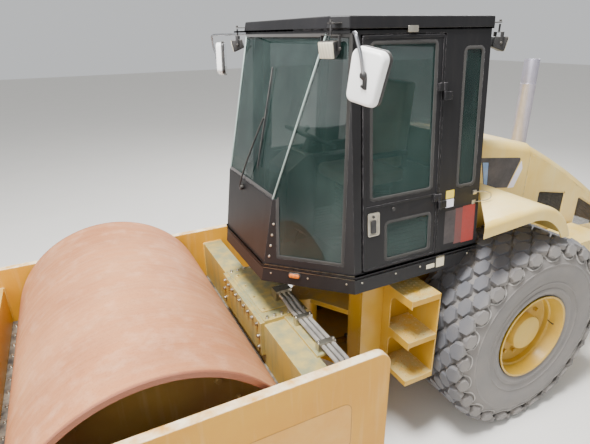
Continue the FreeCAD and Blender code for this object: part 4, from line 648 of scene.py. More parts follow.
@dataclass(frozen=True)
class Plastic(Finish):
    """Injection-moulded ABS with a fine spark-eroded grain, slightly chalky where it faces up."""

    name: str
    slot: str
    clean: str
    dust: str
    rough: float = 0.45
    dusty: float = 0.35

    def dress(self, tree: NodeTree, surface: Any, place: Any) -> None:
        """Mixes the plastic's colour with dust and gives it a moulded grain."""
        whole = stretched(tree, place, (1.0, 1.0, 1.0))
        film = times(tree, patches(tree, whole, 0.07, 0.30, 0.65, 6.0), settled(tree, place, -0.2, 0.9))
        tree.links.new(blend(tree, times(tree, film, self.dusty), colour(self.clean), colour(self.dust)),
                       surface.inputs["Base Color"])
        # The grain is 1.5 mm, coarser than the real one, to show in a close view.
        grain = add_node(tree, "ShaderNodeTexVoronoi", None, {"Vector": whole, "Scale": 1 / (1.5 * MM)})
        tree.links.new(relief(tree, grain.outputs[0], 0.06 * MM, 0.5, edges_and_rounding(tree, 2 * MM)[1]),
                       surface.inputs["Normal"])
        surface.inputs["Roughness"].default_value = self.rough
        surface.inputs["IOR"].default_value = 1.52


@dataclass(frozen=True)
class Glass(Finish):
    """Green tinted float glass, 6 mm thick, with a wiped film of dust in patches and runs."""

    name: str
    slot: str
    tint: str
    dust: str
    clear: float = 0.48

    def dress(self, tree: NodeTree, surface: Any, place: Any) -> None:
        """Lets light through by the shader's alpha, less where the film of dust lies."""
        whole = stretched(tree, place, (1.0, 1.0, 1.0))
        runs = stretched(tree, place, (1.0, 1.0, 0.10))
        film = patches(tree, whole, 0.45, 0.35, 0.85, 3.0)
        streaks = patches(tree, runs, 0.09, 0.50, 0.85, 2.0)
        dirt = add_node(tree, "ShaderNodeMath", {"operation": "MULTIPLY_ADD", "use_clamp": True},
                        {0: streaks, 1: 0.10, 2: times(tree, film, 0.20)}).outputs[0]
        tree.links.new(blend(tree, dirt, colour(self.tint), colour(self.dust)), surface.inputs["Base Color"])
        alpha = add_node(tree, "ShaderNodeMapRange", None,
                         {"Value": dirt, "To Min": self.clear, "To Max": self.clear + 0.40}).outputs[0]
        tree.links.new(alpha, surface.inputs["Alpha"])
        haze = add_node(tree, "ShaderNodeMapRange", None, {"Value": dirt, "To Min": 0.02, "To Max": 0.20}).outputs[0]
        tree.links.new(haze, surface.inputs["Roughness"])
        surface.inputs["IOR"].default_value = 1.52


@dataclass(frozen=True)
class Lens(Finish):
    """A moulded lamp lens: clear or tinted acrylic with vertical ribs behind its face."""

    name: str
    slot: str
    clean: str
    rib: Point = (0.0, 1.0, 0.0)

    def dress(self, tree: NodeTree, surface: Any, place: Any) -> None:
        """Draws ribs 8 mm apart in colour and relief."""
        wave = add_node(tree, "ShaderNodeTexWave", {"bands_direction": "DIAGONAL"},
                        {"Vector": stretched(tree, place, self.rib), "Scale": 1 / (8 * MM) / 3.14, "Distortion": 0.2})
        pale = [min(1.0, part * 1.2 + 0.02) for part in colour(self.clean)[:3]] + [1.0]
        tree.links.new(blend(tree, wave.outputs["Fac"], colour(self.clean), pale), surface.inputs["Base Color"])
        tree.links.new(relief(tree, wave.outputs["Fac"], 0.8 * MM), surface.inputs["Normal"])
        surface.inputs["Roughness"].default_value = 0.12
        surface.inputs["IOR"].default_value = 1.49
        surface.inputs["Transmission Weight"].default_value = 0.25
        surface.inputs["Coat Weight"].default_value = 0.8


@dataclass(frozen=True)
class Fabric(Finish):
    """Flat-woven polyester seat cloth over foam: two yarns, a soft sheen and pale worn patches."""

    name: str
    slot: str
    warp: str
    weft: str

    def dress(self, tree: NodeTree, surface: Any, place: Any) -> None:
        """Weaves two yarns 3 mm apart, coarser than the real cloth so that it shows."""
        whole = stretched(tree, place, (1.0, 1.0, 1.0))
        weave = add_node(tree, "ShaderNodeTexChecker", None,
                         {"Vector": whole, "Scale": 1 / (3 * MM), "Color1": colour(self.warp),
                          "Color2": colour(self.weft)})
        worn = patches(tree, whole, 0.10, 0.40, 0.70)
        tree.links.new(blend(tree, times(tree, worn, 0.35), weave.outputs[0], colour("A89B84")),
                       surface.inputs["Base Color"])
        tree.links.new(relief(tree, weave.outputs[1], 0.5 * MM, 0.6), surface.inputs["Normal"])
        surface.inputs["Roughness"].default_value = 0.9
        surface.inputs["Sheen Weight"].default_value = 0.4


@dataclass(frozen=True)
class Vinyl(Finish):
    """Printed vinyl film: one flat colour that the sun has bleached unevenly, a little scuffed."""

    name: str
    slot: str
    clean: str
    faded: str

    def dress(self, tree: NodeTree, surface: Any, place: Any) -> None:
        """Mixes the print with its bleached tone and scuffs its gloss."""
        whole = stretched(tree, place, (1.0, 1.0, 1.0))
        bleached = patches(tree, whole, 0.12, 0.35, 0.75)
        tree.links.new(blend(tree, bleached, colour(self.clean), colour(self.faded)), surface.inputs["Base Color"])
        scuffs = patches(tree, whole, 0.02, 0.40, 0.70, 8.0)
        gloss = add_node(tree, "ShaderNodeMapRange", None, {"Value": scuffs, "To Min": 0.28, "To Max": 0.55})
        tree.links.new(gloss.outputs[0], surface.inputs["Roughness"])
        tree.links.new(relief(tree, scuffs, 0.05 * MM), surface.inputs["Normal"])


@dataclass(frozen=True)
class Ground(Finish):
    """The studio's floor: a plain pale sweep of painted board."""

    name: str
    slot: str
    clean: str

    def dress(self, tree: NodeTree, surface: Any, place: Any) -> None:
        """Varies the pale paint very slightly, as a rolled coat does."""
        whole = stretched(tree, place, (1.0, 1.0, 1.0))
        rolled = patches(tree, whole, 0.6, 0.2, 0.8)
        tone = colour(self.clean)
        other = tuple(part * 0.96 for part in tone[:3]) + (1.0,)
        tree.links.new(blend(tree, rolled, tone, other), surface.inputs["Base Color"])
        surface.inputs["Roughness"].default_value = 0.75


FRAME_PAINT = Paint("frame_enamel", "frame_paint", "C08F1C", "C89F38", "F0E4C0", "A49468", 0.60, 0.42, 0.2, 6 * MM, 0.20)
STEP_PAINT = Paint("step_enamel", "frame_paint", "C08F1C", "C89F38", "F6ECCC", "AFA474", 0.80, 0.5, 0.1, 6 * MM, 0.2)
# The side plates' near-white edges, 9 mm wide, are partly wear and partly a painted highlight where their top edges
# catch the light.
PLATE_PAINT = Paint("plate_enamel", "frame_paint", "C48808", "CC941C", "FBF3E0", "EBDDBC", 0.90, 0.55, 0.05, 9 * MM, 0.10)
HITCH_PAINT = Paint("hitch_enamel", "frame_paint", "B79432", "A99A5C", "E6DCB4", "77795C", 0.90, 0.6, 0.05, 5 * MM, 0.6)
HOOD_PAINT = Paint("hood_enamel", "hood_paint", "DDB850", "E6CB7C", "FAF4E0", "DCCB98", 0.35, 0.34, 0.4)
RIM_PAINT = Paint("rim_enamel", "rim_paint", "B88E1C", "C09C34", "E2CE90", "8F7A44", 0.0, 0.45, 0.15, 5 * MM, 0.35)
# The hub's enamel is the rim's enamel painted lighter: a painted highlight for the sunlit hub.
HUB_PAINT_LIT = Paint("hub_enamel_painted_light", "rim_paint", "CDA63A", "D4B456", "EAD9A4", "AC9455", 0.0, 0.55, 0.05, 4 * MM, 0.30)
# On the black cab the pale grey edge lines are partly chipped paint and partly painted edge highlights.
CAB_PAINT = Paint("cab_enamel", "cab_paint", "111012", "181719", "C2BCBE", "3C3834", 0.40, 0.46, 0.05, 2.0 * MM, 0.12, 0.32)
DARK_PAINT = Paint("black_enamel", "dark_steel", "1F1E1E", "2B2929", "6E6860", "8A7D6A", 0.6, 0.5, 0.1, 3 * MM)
HEAD_PAINT = Paint("drum_head_enamel", "drum_inside", "A3853E", "8E6C34", "B8A067", "B89F6C", 0.5, 0.7, 0.0)
ENGINE_PAINT = Paint("engine_enamel", "engine_paint", "4A4B4D", "58595A", "8A8A88", "6F665A", 0.6, 0.5, 0.1)
LINER = Paint("cab_liner", "cab_paint", "3E3B3B", "484443", "6A6562", "6A635B", 0.3, 0.7, 0.0, 2 * MM, 0.1)
TYRE_RUBBER = Rubber("tyre_rubber", "tyre", "4B4D54", "8B8379", 0.30, (-1.0325, 0.0, 0.797), 0.797)
# Rubber much paler than the tyre, which draws the moulded ridge round the outer lugs as a pale line.
PALE_RUBBER = Rubber("pale_line_rubber", "tyre", "94918E", "B4ACA2", 0.5)
SEAL_RUBBER = Rubber("seal_rubber", "rubber", "141414", "6E675E", 0.18)
HOSE_RUBBER = Rubber("hose_rubber", "rubber", "3A3836", "B4ADA2", 0.75)
MOUNT_RUBBER = Rubber("mount_rubber", "rubber", "1B1A1A", "7F766A", 0.4)
CHROME = Metal("hard_chrome", "bright_steel", "D9DBDE", "8E8578", 0.12, 0.25, (1.0, 1.0, 1.0))
ZINC = Metal("zinc_plate", "bright_steel", "C9C4B6", "8A7D66", 0.34, 0.5)
EXHAUST_STEEL = Metal("aluminised_steel", "exhaust_steel", "BAB6C4", "8A8490", 0.42, 0.28, (1.0, 1.0, 0.1), 0.8)
TUBE_STEEL = Metal("galvanised_tube", "bright_steel", "9C9EA3", "66625E", 0.36, 0.4)
MIRROR_FACE = Metal("silvered_glass", "bright_steel", "E6EBEE", "B9B9B4", 0.09, 0.15)
CAB_PLASTIC = Plastic("black_plastic", "cab_plastic", "1C1C1E", "8A8276")
GREY_PLASTIC = Plastic("grey_plastic", "cab_plastic", "5A5A5C", "8A8276", 0.5)
WHITE_PLASTIC = Plastic("white_plastic", "pale_plastic", "F0F0EE", "CFC9BE", 0.35, 0.25)
TINTED_GLASS = Glass("tinted_glass", "glass", "0C2320", "6F857E")
DOOR_GLASS = Glass("door_glass", "glass", "10302C", "7E938D", 0.38)
CLEAR_LENS = Lens("clear_lens", "pale_plastic", "D9D2BA")
RED_LENS = Lens("red_lens", "pale_plastic", "A61B12")
AMBER_LENS = Lens("amber_lens", "pale_plastic", "D9721A")
SEAT_CLOTH = Fabric("seat_cloth", "seat_fabric", "9C8F79", "857962")
DARK_VINYL = Vinyl("dark_vinyl", "cab_paint", "2C282A", "4E4644")
BLUE_VINYL = Vinyl("blue_vinyl", "cab_paint", "6F97D0", "93ADD8")
PALE_VINYL = Vinyl("pale_vinyl", "pale_plastic", "E8E2F2", "F2EFF4")
YELLOW_VINYL = Vinyl("yellow_vinyl", "pale_plastic", "E2C229", "E9D262")
RED_VINYL = Vinyl("red_vinyl", "cab_paint", "9A322A", "7C352F")
FADE_VINYL = Vinyl("fading_vinyl", "cab_paint", "6E3A36", "57403E")
SAND_VINYL = Vinyl("sand_vinyl", "pale_plastic", "CFC3A2", "DAD1B8")
PLATE_VINYL = Vinyl("plate_vinyl", "frame_paint", "CC9128", "D09A3A")
FILM_EDGE = Vinyl("film_edge", "frame_paint", "8E6018", "9E7024")
SEALANT = Vinyl("pale_sealant", "pale_plastic", "808F89", "9AA7A2")


# Pieces

def finished(form: Form, name: str, body: str, finish: Finish, edge: float = 0.0, replaces: Sequence[str] = (),
             smooth: float = 0.55) -> Object:
    """Turns a form into a piece that has its finish and rides on its body.

    Args:
        form: the form, which is used up.
        name: the piece's name.
        body: the body that it rides on.
        finish: what covers it.
        edge: the width of a bevel that the piece keeps as a modifier.
        replaces: the CAD nodes that it stands for.
        smooth: the turn between faces up to which they are shaded as one, in radians.

    Returns:
        The piece.
    """
    data = bpy.data.meshes.new(name)
    form.mesh.to_mesh(data)
    form.mesh.free()
    for polygon in data.polygons:
        polygon.use_smooth = True
    data.set_sharp_from_angle(angle=smooth)
    data.materials.append(finish.material())
    piece = bpy.data.objects.new(name, data)
    bpy.context.scene.collection.objects.link(piece)
    if edge > 0.0:
        rounding = piece.modifiers.new("rounding", "BEVEL")
        rounding.width = edge
        rounding.segments = 2
        rounding.limit_method = "ANGLE"
        rounding.angle_limit = smooth
        rounding.harden_normals = True
    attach(piece, body)
    if replaces:
        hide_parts(*replaces)
    LOG.info("%s: %d faces on %s", name, len(data.polygons), body)
    return piece


def merged(node: str) -> bmesh.types.BMesh:
    """A copy of a CAD node's mesh with its triangles joined into flat faces."""
    mesh = bmesh.new()
    mesh.from_mesh(NODES[node].data)
    bmesh.ops.remove_doubles(mesh, verts=mesh.verts, dist=1e-5)
    bmesh.ops.dissolve_limit(mesh, angle_limit=math.radians(0.8), verts=mesh.verts, edges=mesh.edges)
    return mesh


def softened(node: str, name: str, body: str, finish: Finish, edge: float) -> Object:
    """A node's own shape with rounded edges, which stands for the node.

    Args:
        node: the CAD node.
        name: the piece's name.
        body: the body that it rides on.
        finish: what covers it.
        edge: the width of its rounded edges.

    Returns:
        The piece.
    """
    form = Form()
    form.add(merged(node))
    return finished(form, name, body, finish, edge, (node,))


def repaint(node: str, finish: Finish) -> None:
    """Gives a CAD node that stays in view its finish."""
    slots = NODES[node].data.materials
    slots.clear()
    slots.append(finish.material())
    LOG.info("%s: %s", node, finish.name)


@dataclass
class Drum:
    """The smooth drum: a rolled shell, two recessed heads and their fasteners."""

    centre: Point = (1.7605, 0.0, 0.767)
    radius: float = 0.767
    wall: float = 0.040
    half: float = 1.065
    head_face: float = 0.765
    rust: Finish = field(default_factory=lambda: RolledSteel("rolled_steel", "drum_steel", (1.7605, 0.0, 0.767), 1.065))

    def build(self) -> None:
        """Makes the shell, the heads' weld seams and the bolts round the shaft."""
        along = aim(self.centre, (0.0, 1.0, 0.0))
        inner, edge = self.radius - self.wall, 5 * MM
        profile = [(self.radius - edge, -self.half), (self.radius, -self.half + edge), (self.radius, self.half - edge),
                   (self.radius - edge, self.half), (inner + edge, self.half), (inner, self.half - edge),
                   (inner, -self.half + edge), (inner + edge, -self.half)]
        finished(Form().add(lathe(profile, 160, True), along), "drum_skin", "drum", self.rust,
                 replaces=("drum_shell",), smooth=0.5)
        repaint("drum_heads", HEAD_PAINT)
        seams = Form()
        fittings = Form()
        for side in Side:
            bead = [(inner, self.head_face), (inner - 16 * MM, self.head_face),
                    (inner - 9 * MM, self.head_face + 9 * MM), (inner, self.head_face + 16 * MM)]
            seams.add(lathe(bead, 96, True), side.turn @ along)
            points = [(self.centre[0] + 0.545 * math.cos(angle), self.head_face, self.centre[2] + 0.545 * math.sin(angle))
                      for angle in (math.tau * step / 16 for step in range(16))]
            fittings.bolts(points, (0.0, 1.0, 0.0), 36 * MM, 20 * MM, side.turn)
        finished(seams, "drum_welds", "drum", HEAD_PAINT)
        finished(fittings, "drum_bolts", "drum", HEAD_PAINT)


@dataclass
class FrontFrame:
    """The frame round the drum: side plates, beams, carriers, scrapers and the hose bundle."""

    plate_face: float = 1.150
    plate_inner: float = 1.090
    carrier_outer: float = 1.020
    drum_centre: Point = (1.7605, 0.0, 0.767)
    hose_lines: Sequence[float] = (0.6525, 0.6875, 0.7225)
    hose_radius: float = 0.014
    hose_height: float = 1.205
    clamp_places: Sequence[float] = (0.520, 0.830)

    def build(self) -> None:
        """Makes the frame's pieces in order."""
        softened("side_plates", "side_frames", "front", PLATE_PAINT, 5 * MM)
        softened("front_beam", "cross_beam_front", "front", FRAME_PAINT, 4 * MM)
        softened("rear_beam", "cross_beam_rear", "front", HITCH_PAINT, 3 * MM)
        repaint("carrier_mounts", MOUNT_RUBBER)
        softened("drum_carriers", "carriers", "front", HEAD_PAINT, 4 * MM)
        self.fasteners()
        self.carrier_drive()
        self.scraper_bars()
        self.hoses()
        self.welds()
        self.films()

    def fasteners(self) -> None:
        """Bolts on the side plates over the rubber mounts, and along the bearing housing's flange."""
        form = Form()
        centre = Vector(self.drum_centre)
        for side in Side:
            points = [(centre.x + 0.33 * math.cos(angle), self.carrier_outer - 0.030, centre.z + 0.33 * math.sin(angle))
                      for angle in (math.tau * (step + 0.5) / 6 for step in range(6))]
            form.bolts(points, (0.0, -1.0, 0.0), 30 * MM, 16 * MM, side.turn)
        heads = [(0.9575, -0.34 + 0.085 * step, 1.135) for step in range(9)]
        heads += [(0.9575, sign * 0.365, height) for sign in (1, -1) for height in (1.05, 0.96)]
        form.bolts(heads, (1.0, 0.0, 0.0), 24 * MM, 14 * MM)
        top = [(0.62 + 0.055 * step, sign * 0.372, 1.18) for sign in (1, -1) for step in range(6)]
        form.bolts(top, (0.0, 0.0, 1.0), 20 * MM, 12 * MM)
        finished(form, "frame_bolts", "front", ZINC)
        lid = Form()
        lid.add(plate(oblong((0.615, -0.30), (0.905, 0.30), 0.02), 8 * MM, 2 * MM), Matrix.Translation((0, 0, 1.180)))
        lid.bolts([(x, y, 1.188) for x in (0.64, 0.88) for y in (-0.27, -0.09, 0.09, 0.27)], (0, 0, 1), 16 * MM, 9 * MM)
        finished(lid, "hitch_lid", "front", HITCH_PAINT)

    def carrier_drive(self) -> None:
        """The travel motor on the left carrier and the bearing cap on the right one."""
        centre = Vector((self.drum_centre[0], 0.0, self.drum_centre[2]))
        motor = [(0.0, 0.052), (0.075, 0.052), (0.090, 0.044), (0.098, 0.020), (0.130, 0.014), (0.136, 0.0)]
        form = Form()
        for side in Side:
            place = side.turn @ aim(centre + Vector((0.0, self.carrier_outer, 0.0)), (0.0, 1.0, 0.0))
            form.add(lathe(motor, 48), place)
            points = [centre + Vector((0.115 * math.cos(angle), self.carrier_outer + 16 * MM, 0.115 * math.sin(angle)))
                      for angle in (math.tau * step / 8 for step in range(8))]
            form.bolts(points, (0.0, 1.0, 0.0), 17 * MM, 9 * MM, side.turn)
        finished(form, "carrier_caps", "front", DARK_PAINT)

    def scraper_bars(self) -> None:
        """The scraper blades and their bolts."""
        softened("scrapers", "scraper_blades", "front", DARK_PAINT, 2 * MM)
        form = Form()
        for x, direction in ((0.9275, 1.0), (2.5875, -1.0)):
            span = [(x, -0.98 + 0.14 * step, 0.800) for step in range(15)]
            form.bolts(span, (0.0, 0.0, 1.0), 18 * MM, 10 * MM, Matrix.Translation((direction * 0.028, 0.0, 0.012)))
        finished(form, "scraper_bolts", "front", ZINC)

    def hoses(self) -> None:
        """Three hoses over the beam, each with a crimped ferrule and nut at both ends, in two bar clamps."""
        rubber, ends = Form(), Form()
        for x in self.hose_lines:
            rubber.add(swept([(x, 0.225, 1.230), (x, 0.300, 1.230), (x, 0.380, self.hose_height),
                              (x, 0.520, self.hose_height), (x, 0.840, self.hose_height),
                              (x, 0.950, self.hose_height), (x, 1.030, self.hose_height), (x, 1.030, 1.12),
                              (x, 1.030, 0.925)], self.hose_radius, 4))
            for point, run in (((x, 0.218, 1.230), (0.0, 1.0, 0.0)), ((x, 1.030, 0.918), (0.0, 0.0, 1.0))):
                crimp = [(0.0, 0.0), (0.017, 0.0), (0.017, 0.020), (0.0155, 0.023), (0.0165, 0.030), (0.0165, 0.060),
                         (0.0145, 0.064)]
                ends.add(lathe(crimp, 20), aim(point, run))
                ends.add(bar(0.0195, 0.018, 1 * MM, 6), aim(point, run))
        finished(rubber, "hose_bundle", "front", HOSE_RUBBER, replaces=("drum_hoses",))
        finished(ends, "hose_ends", "front", ZINC)
        softened("hose_clamps", "hose_bars", "front", ZINC, 2 * MM)
        bolts = Form()
        for y in self.clamp_places:
            bolts.bolts([(x, y, self.hose_height + 0.024) for x in (0.636 + 0.004, 0.745)], (0.0, 0.0, 1.0),
                        13 * MM, 8 * MM)
        finished(bolts, "clamp_bolts", "front", ZINC)

    def welds(self) -> None:
        """Weld beads where the beams meet the side plates."""
        form = Form()
        for side in Side:
            for low, high, bottom, top in ((0.7575, 0.9275, 0.600, 1.150), (2.5875, 2.7525, 0.640, 1.120)):
                y = self.plate_inner - 3 * MM
                for start, end in (((low, y, top), (high, y, top)), ((low, y, bottom), (low, y, top)),
                                   ((high, y, bottom), (high, y, top))):
                    start, end = Vector(start), Vector(end)
                    form.add(bar(7 * MM, (end - start).length, 2 * MM, 10), side.turn @ aim(start, end - start))
        finished(form, "frame_welds", "front", FRAME_PAINT)

    def films(self) -> None:
        """A blank bleached film on each side plate."""
        form = Form()
        for side in Side:
            sheet = plate(oblong((0.700, 0.660), (1.480, 1.015), 0.060), 0.6 * MM)
            turn = Matrix.Rotation(math.pi / 2, 4, "X")
            form.add(sheet, side.turn @ Matrix.Translation((0.0, self.plate_face + 0.8 * MM, 0.0)) @ turn)
        finished(form, "plate_films", "front", PLATE_VINYL)
        lines = Form()
        for side in Side:
            turn = Matrix.Rotation(math.pi / 2, 4, "X")
            lines.add(rim_of(oblong((0.700, 0.660), (1.480, 1.015), 0.060), 4 * MM, 0.4 * MM),
                      side.turn @ Matrix.Translation((0.0, self.plate_face + 1.4 * MM, 0.0)) @ turn)
        finished(lines, "film_outlines", "front", FILM_EDGE)


@dataclass
class Hitch:
    """The yoke, its pins and the two steering cylinders."""

    pin_place: Point = (0.4175, 0.0, 0.785)

    def build(self) -> None:
        """Dresses the yoke and the cylinders, and adds the bolts round the pin."""
        softened("hitch_yoke", "yoke", "hitch", FRAME_PAINT, 3 * MM)
        x, _, z = self.pin_place
        form = Form()
        for height, way in ((z + 0.232, 1.0), (z - 0.232, -1.0)):
            form.bolts([(x + 0.062 * math.cos(turn), 0.062 * math.sin(turn), height)
                        for turn in (math.tau * step / 5 for step in range(5))], (0.0, 0.0, way), 15 * MM, 7 * MM)
        finished(form, "yoke_bolts", "hitch", ZINC)
        for side in Side:
            softened("steering_barrel_" + side.word, "ram_barrel_" + side.word, "barrel_" + side.word, DARK_PAINT, 2 * MM)
            repaint("steering_rod_" + side.word, CHROME)


@dataclass
class Wheel:
    """One drive wheel: a lugged flotation tyre on a deep-dished rim."""

    side: Side
    centre: Point = (-1.0325, 0.778, 0.797)
    radius: float = 0.797
    lug: float = 0.038
    around: int = 24
    row: float = 0.0775
    rows: int = 4
    crown_half: float = 0.200
    shoulder: float = 0.090
    lug_long: float = 0.118
    lug_wide: float = 0.105
    lug_flat: float = 0.052
    foot: float = 0.012
    phase: float = -0.023
    line_steps: Sequence[Point] = ((0.716, 0.2515), (0.662, 0.280), (0.662, 0.280), (0.716, 0.2515))

    @property
    def place(self) -> Matrix:
        """The matrix from the wheel's own frame, Z outwards, to the machine."""
        return self.side.turn @ aim(self.centre, (0.0, 1.0, 0.0))

    def spot(self, run: float) -> tuple[float, float, float]:
        """Where the lug tops lie at a distance along the tread's profile from its middle.

        Args:
            run: the distance along the profile.

        Returns:
            How far across, the radius, and the profile's slope there.
        """
        fall = 0.33 * self.crown_half
        if run <= self.crown_half:
            return run, self.radius - fall * run * run, 2.0 * fall * run
        start = 2.0 * fall * self.crown_half
        slope = start + (run - self.crown_half) / self.shoulder
        return (self.crown_half + self.shoulder * (math.sin(slope) - math.sin(start)),
                self.radius - fall * self.crown_half ** 2 - self.shoulder * (math.cos(start) - math.cos(slope)), slope)

    def carcass(self) -> bmesh.types.BMesh:
        """The tyre without its lugs, a closed ring with moulded circles on its walls."""
        base = [(self.spot(step * 0.06)[1] - self.lug, step * 0.06) for step in range(4)]
        half = base + [(0.737, 0.215), (0.722, 0.240), (0.702, 0.258), (0.690, 0.264), (0.678, 0.270), (0.655, 0.278),
                       (0.632, 0.2835), (0.626, 0.2890), (0.618, 0.2890), (0.612, 0.2865), (0.560, 0.2900),
                       (0.520, 0.2850), (0.500, 0.2800), (0.480, 0.2765), (0.476, 0.2800), (0.470, 0.2800),
                       (0.466, 0.2745),
                       (0.455, 0.2700), (0.425, 0.2670), (0.418, 0.2715), (0.400, 0.2725), (0.392, 0.2680),
                       (0.372, 0.2620), (0.356, 0.2540), (0.345, 0.2400), (0.338, 0.2000)]
        ring = half + [(0.338, -0.2000)] + [(radius, -height) for radius, height in reversed(half[1:-1])]
        return lathe(ring, 120, True)

    def tread_lug(self, share: float, height: float) -> bmesh.types.BMesh:
        """One six-sided lug on its spread foot, with its rim rounded.

        Args:
            share: its size as a share of a full lug's.
            height: how far it stands out of the tread.

        Returns:
            The mesh, with its top at Z 0.
        """
        long, wide, flat = (share * size / 2 for size in (self.lug_long, self.lug_wide, self.lug_flat))
        outline = [(long, -flat, 0.0), (long, flat, 0.0), (0.0, wide, 0.0), (-long, flat, 0.0), (-long, -flat, 0.0),
                   (0.0, -wide, 0.0)]
        lug = plate(outline, height + self.foot)
        bmesh.ops.translate(lug, verts=lug.verts, vec=(0.0, 0.0, -height - self.foot))
        spread = [vertex for vertex in lug.verts if vertex.co.z < -height]
        bmesh.ops.scale(lug, vec=(1.16, 1.16, 1.0), verts=spread)
        return soften(lug, 2.0 * MM, 1, 0.4)

    def wavy_line(self, side: float) -> bmesh.types.BMesh:
        """The moulded line that steps round the outer lugs on one wall.

        Args:
            side: 1 for the outer wall, -1 for the inner one.

        Returns:
            The closed tube.
        """
        points = []
        for step in range(self.around):
            for shift, (radius, height) in zip((-0.42, -0.30, 0.30, 0.42), self.line_steps):
                turn = math.tau * (step + shift) / self.around + self.phase
                points.append((radius * math.cos(turn - math.pi / 2), radius * math.sin(turn - math.pi / 2), side * height))
        return swept(points + points[:1], 5 * MM, 2)

    def tyre(self) -> None:
        """The carcass with nine staggered rows of lugs, the outer ones on its shoulders."""
        form = Form()
        form.add(self.carcass())
        for row in range(-self.rows, self.rows + 1):
            across, radius, slope = self.spot(abs(row) * self.row)
            outermost = abs(row) == self.rows
            share, height = (0.84, 0.020) if outermost else (1.0, self.lug - 0.010 * (abs(row) == self.rows - 1))
            tipped = (Matrix.Translation((0.0, math.copysign(across, row), radius))
                      @ Matrix.Rotation(-math.copysign(slope, row), 4, "X"))
            for step in range(self.around):
                turn = math.tau * (step + 0.5 * (row % 2)) / self.around + self.phase
                form.add(self.tread_lug(share, height),
                         Matrix.Rotation(turn, 4, "Z") @ Matrix.Rotation(math.pi / 2, 4, "X") @ tipped)
        placed = Form()
        placed.add(form.mesh, self.place)
        finished(placed, "tyre_tread_" + self.side.word, "wheel_" + self.side.word, TYRE_RUBBER,
                 replaces=("tyre_" + self.side.word,), smooth=0.45)
        lines = Form()
        for side in (1.0, -1.0):
            lines.add(self.wavy_line(side), self.place)
        finished(lines, "tyre_lines_" + self.side.word, "wheel_" + self.side.word, PALE_RUBBER)

    def rim(self) -> None:
        """The pressed rim with its stepped dish, hub, nuts and valve."""
        dish = [(0.338, 0.245), (0.3505, 0.262), (0.3515, 0.268), (0.346, 0.270), (0.337, 0.268), (0.331, 0.258),
                (0.328, 0.235), (0.316, 0.215), (0.312, 0.180), (0.309, 0.172), (0.298, 0.166), (0.295, 0.158),
                (0.293, 0.128), (0.282, 0.118), (0.262, 0.116), (0.255, 0.112), (0.180, 0.104), (0.158, 0.104),
                (0.148, 0.100), (0.130, 0.098), (0.0, 0.098)]
        back = [(0.0, 0.080), (0.250, 0.080), (0.290, 0.095), (0.302, 0.100), (0.308, -0.230), (0.330, -0.262),
                (0.3505, -0.268), (0.3515, -0.262), (0.338, -0.245), (0.322, -0.200), (0.322, 0.200)]
        form = Form()
        form.add(lathe(dish + back, 96, True), self.place)
        finished(form, "rim_dish_" + self.side.word, "wheel_" + self.side.word, RIM_PAINT,
                 replaces=("rim_" + self.side.word,), smooth=0.65)
        nuts = Form()
        for step in range(12):
            turn = math.tau * step / 12
            spot = Matrix.Translation((0.218 * math.cos(turn), 0.218 * math.sin(turn), 0.107))
            nuts.add(hexagon_head(30 * MM, 22 * MM), self.place @ spot @ Matrix.Rotation(turn, 4, "Z"))
        finished(nuts, "wheel_nuts_" + self.side.word, "wheel_" + self.side.word, RIM_PAINT)
        # The cap takes the lighter copy of the rim's enamel, a painted highlight.
        cap = Form()
        face = [(0.0, 0.206), (0.132, 0.206), (0.139, 0.202), (0.143, 0.193), (0.143, 0.125), (0.138, 0.120),
                (0.138, 0.100), (0.0, 0.100)]
        cap.add(lathe(face, 64), self.place)
        finished(cap, "hub_cap_" + self.side.word, "wheel_" + self.side.word, HUB_PAINT_LIT)
        valve = Form()
        valve.add(swept([(0.305, 0.0, 0.150), (0.290, 0.0, 0.175), (0.285, 0.0, 0.215)], 4 * MM), self.place)
        valve.add(bar(6 * MM, 16 * MM, 1 * MM, 12), self.place @ Matrix.Translation((0.285, 0.0, 0.208)))
        finished(valve, "valve_" + self.side.word, "wheel_" + self.side.word, CAB_PLASTIC)

    def build(self) -> None:
        """Makes the tyre and the rim."""
        self.tyre()
        self.rim()


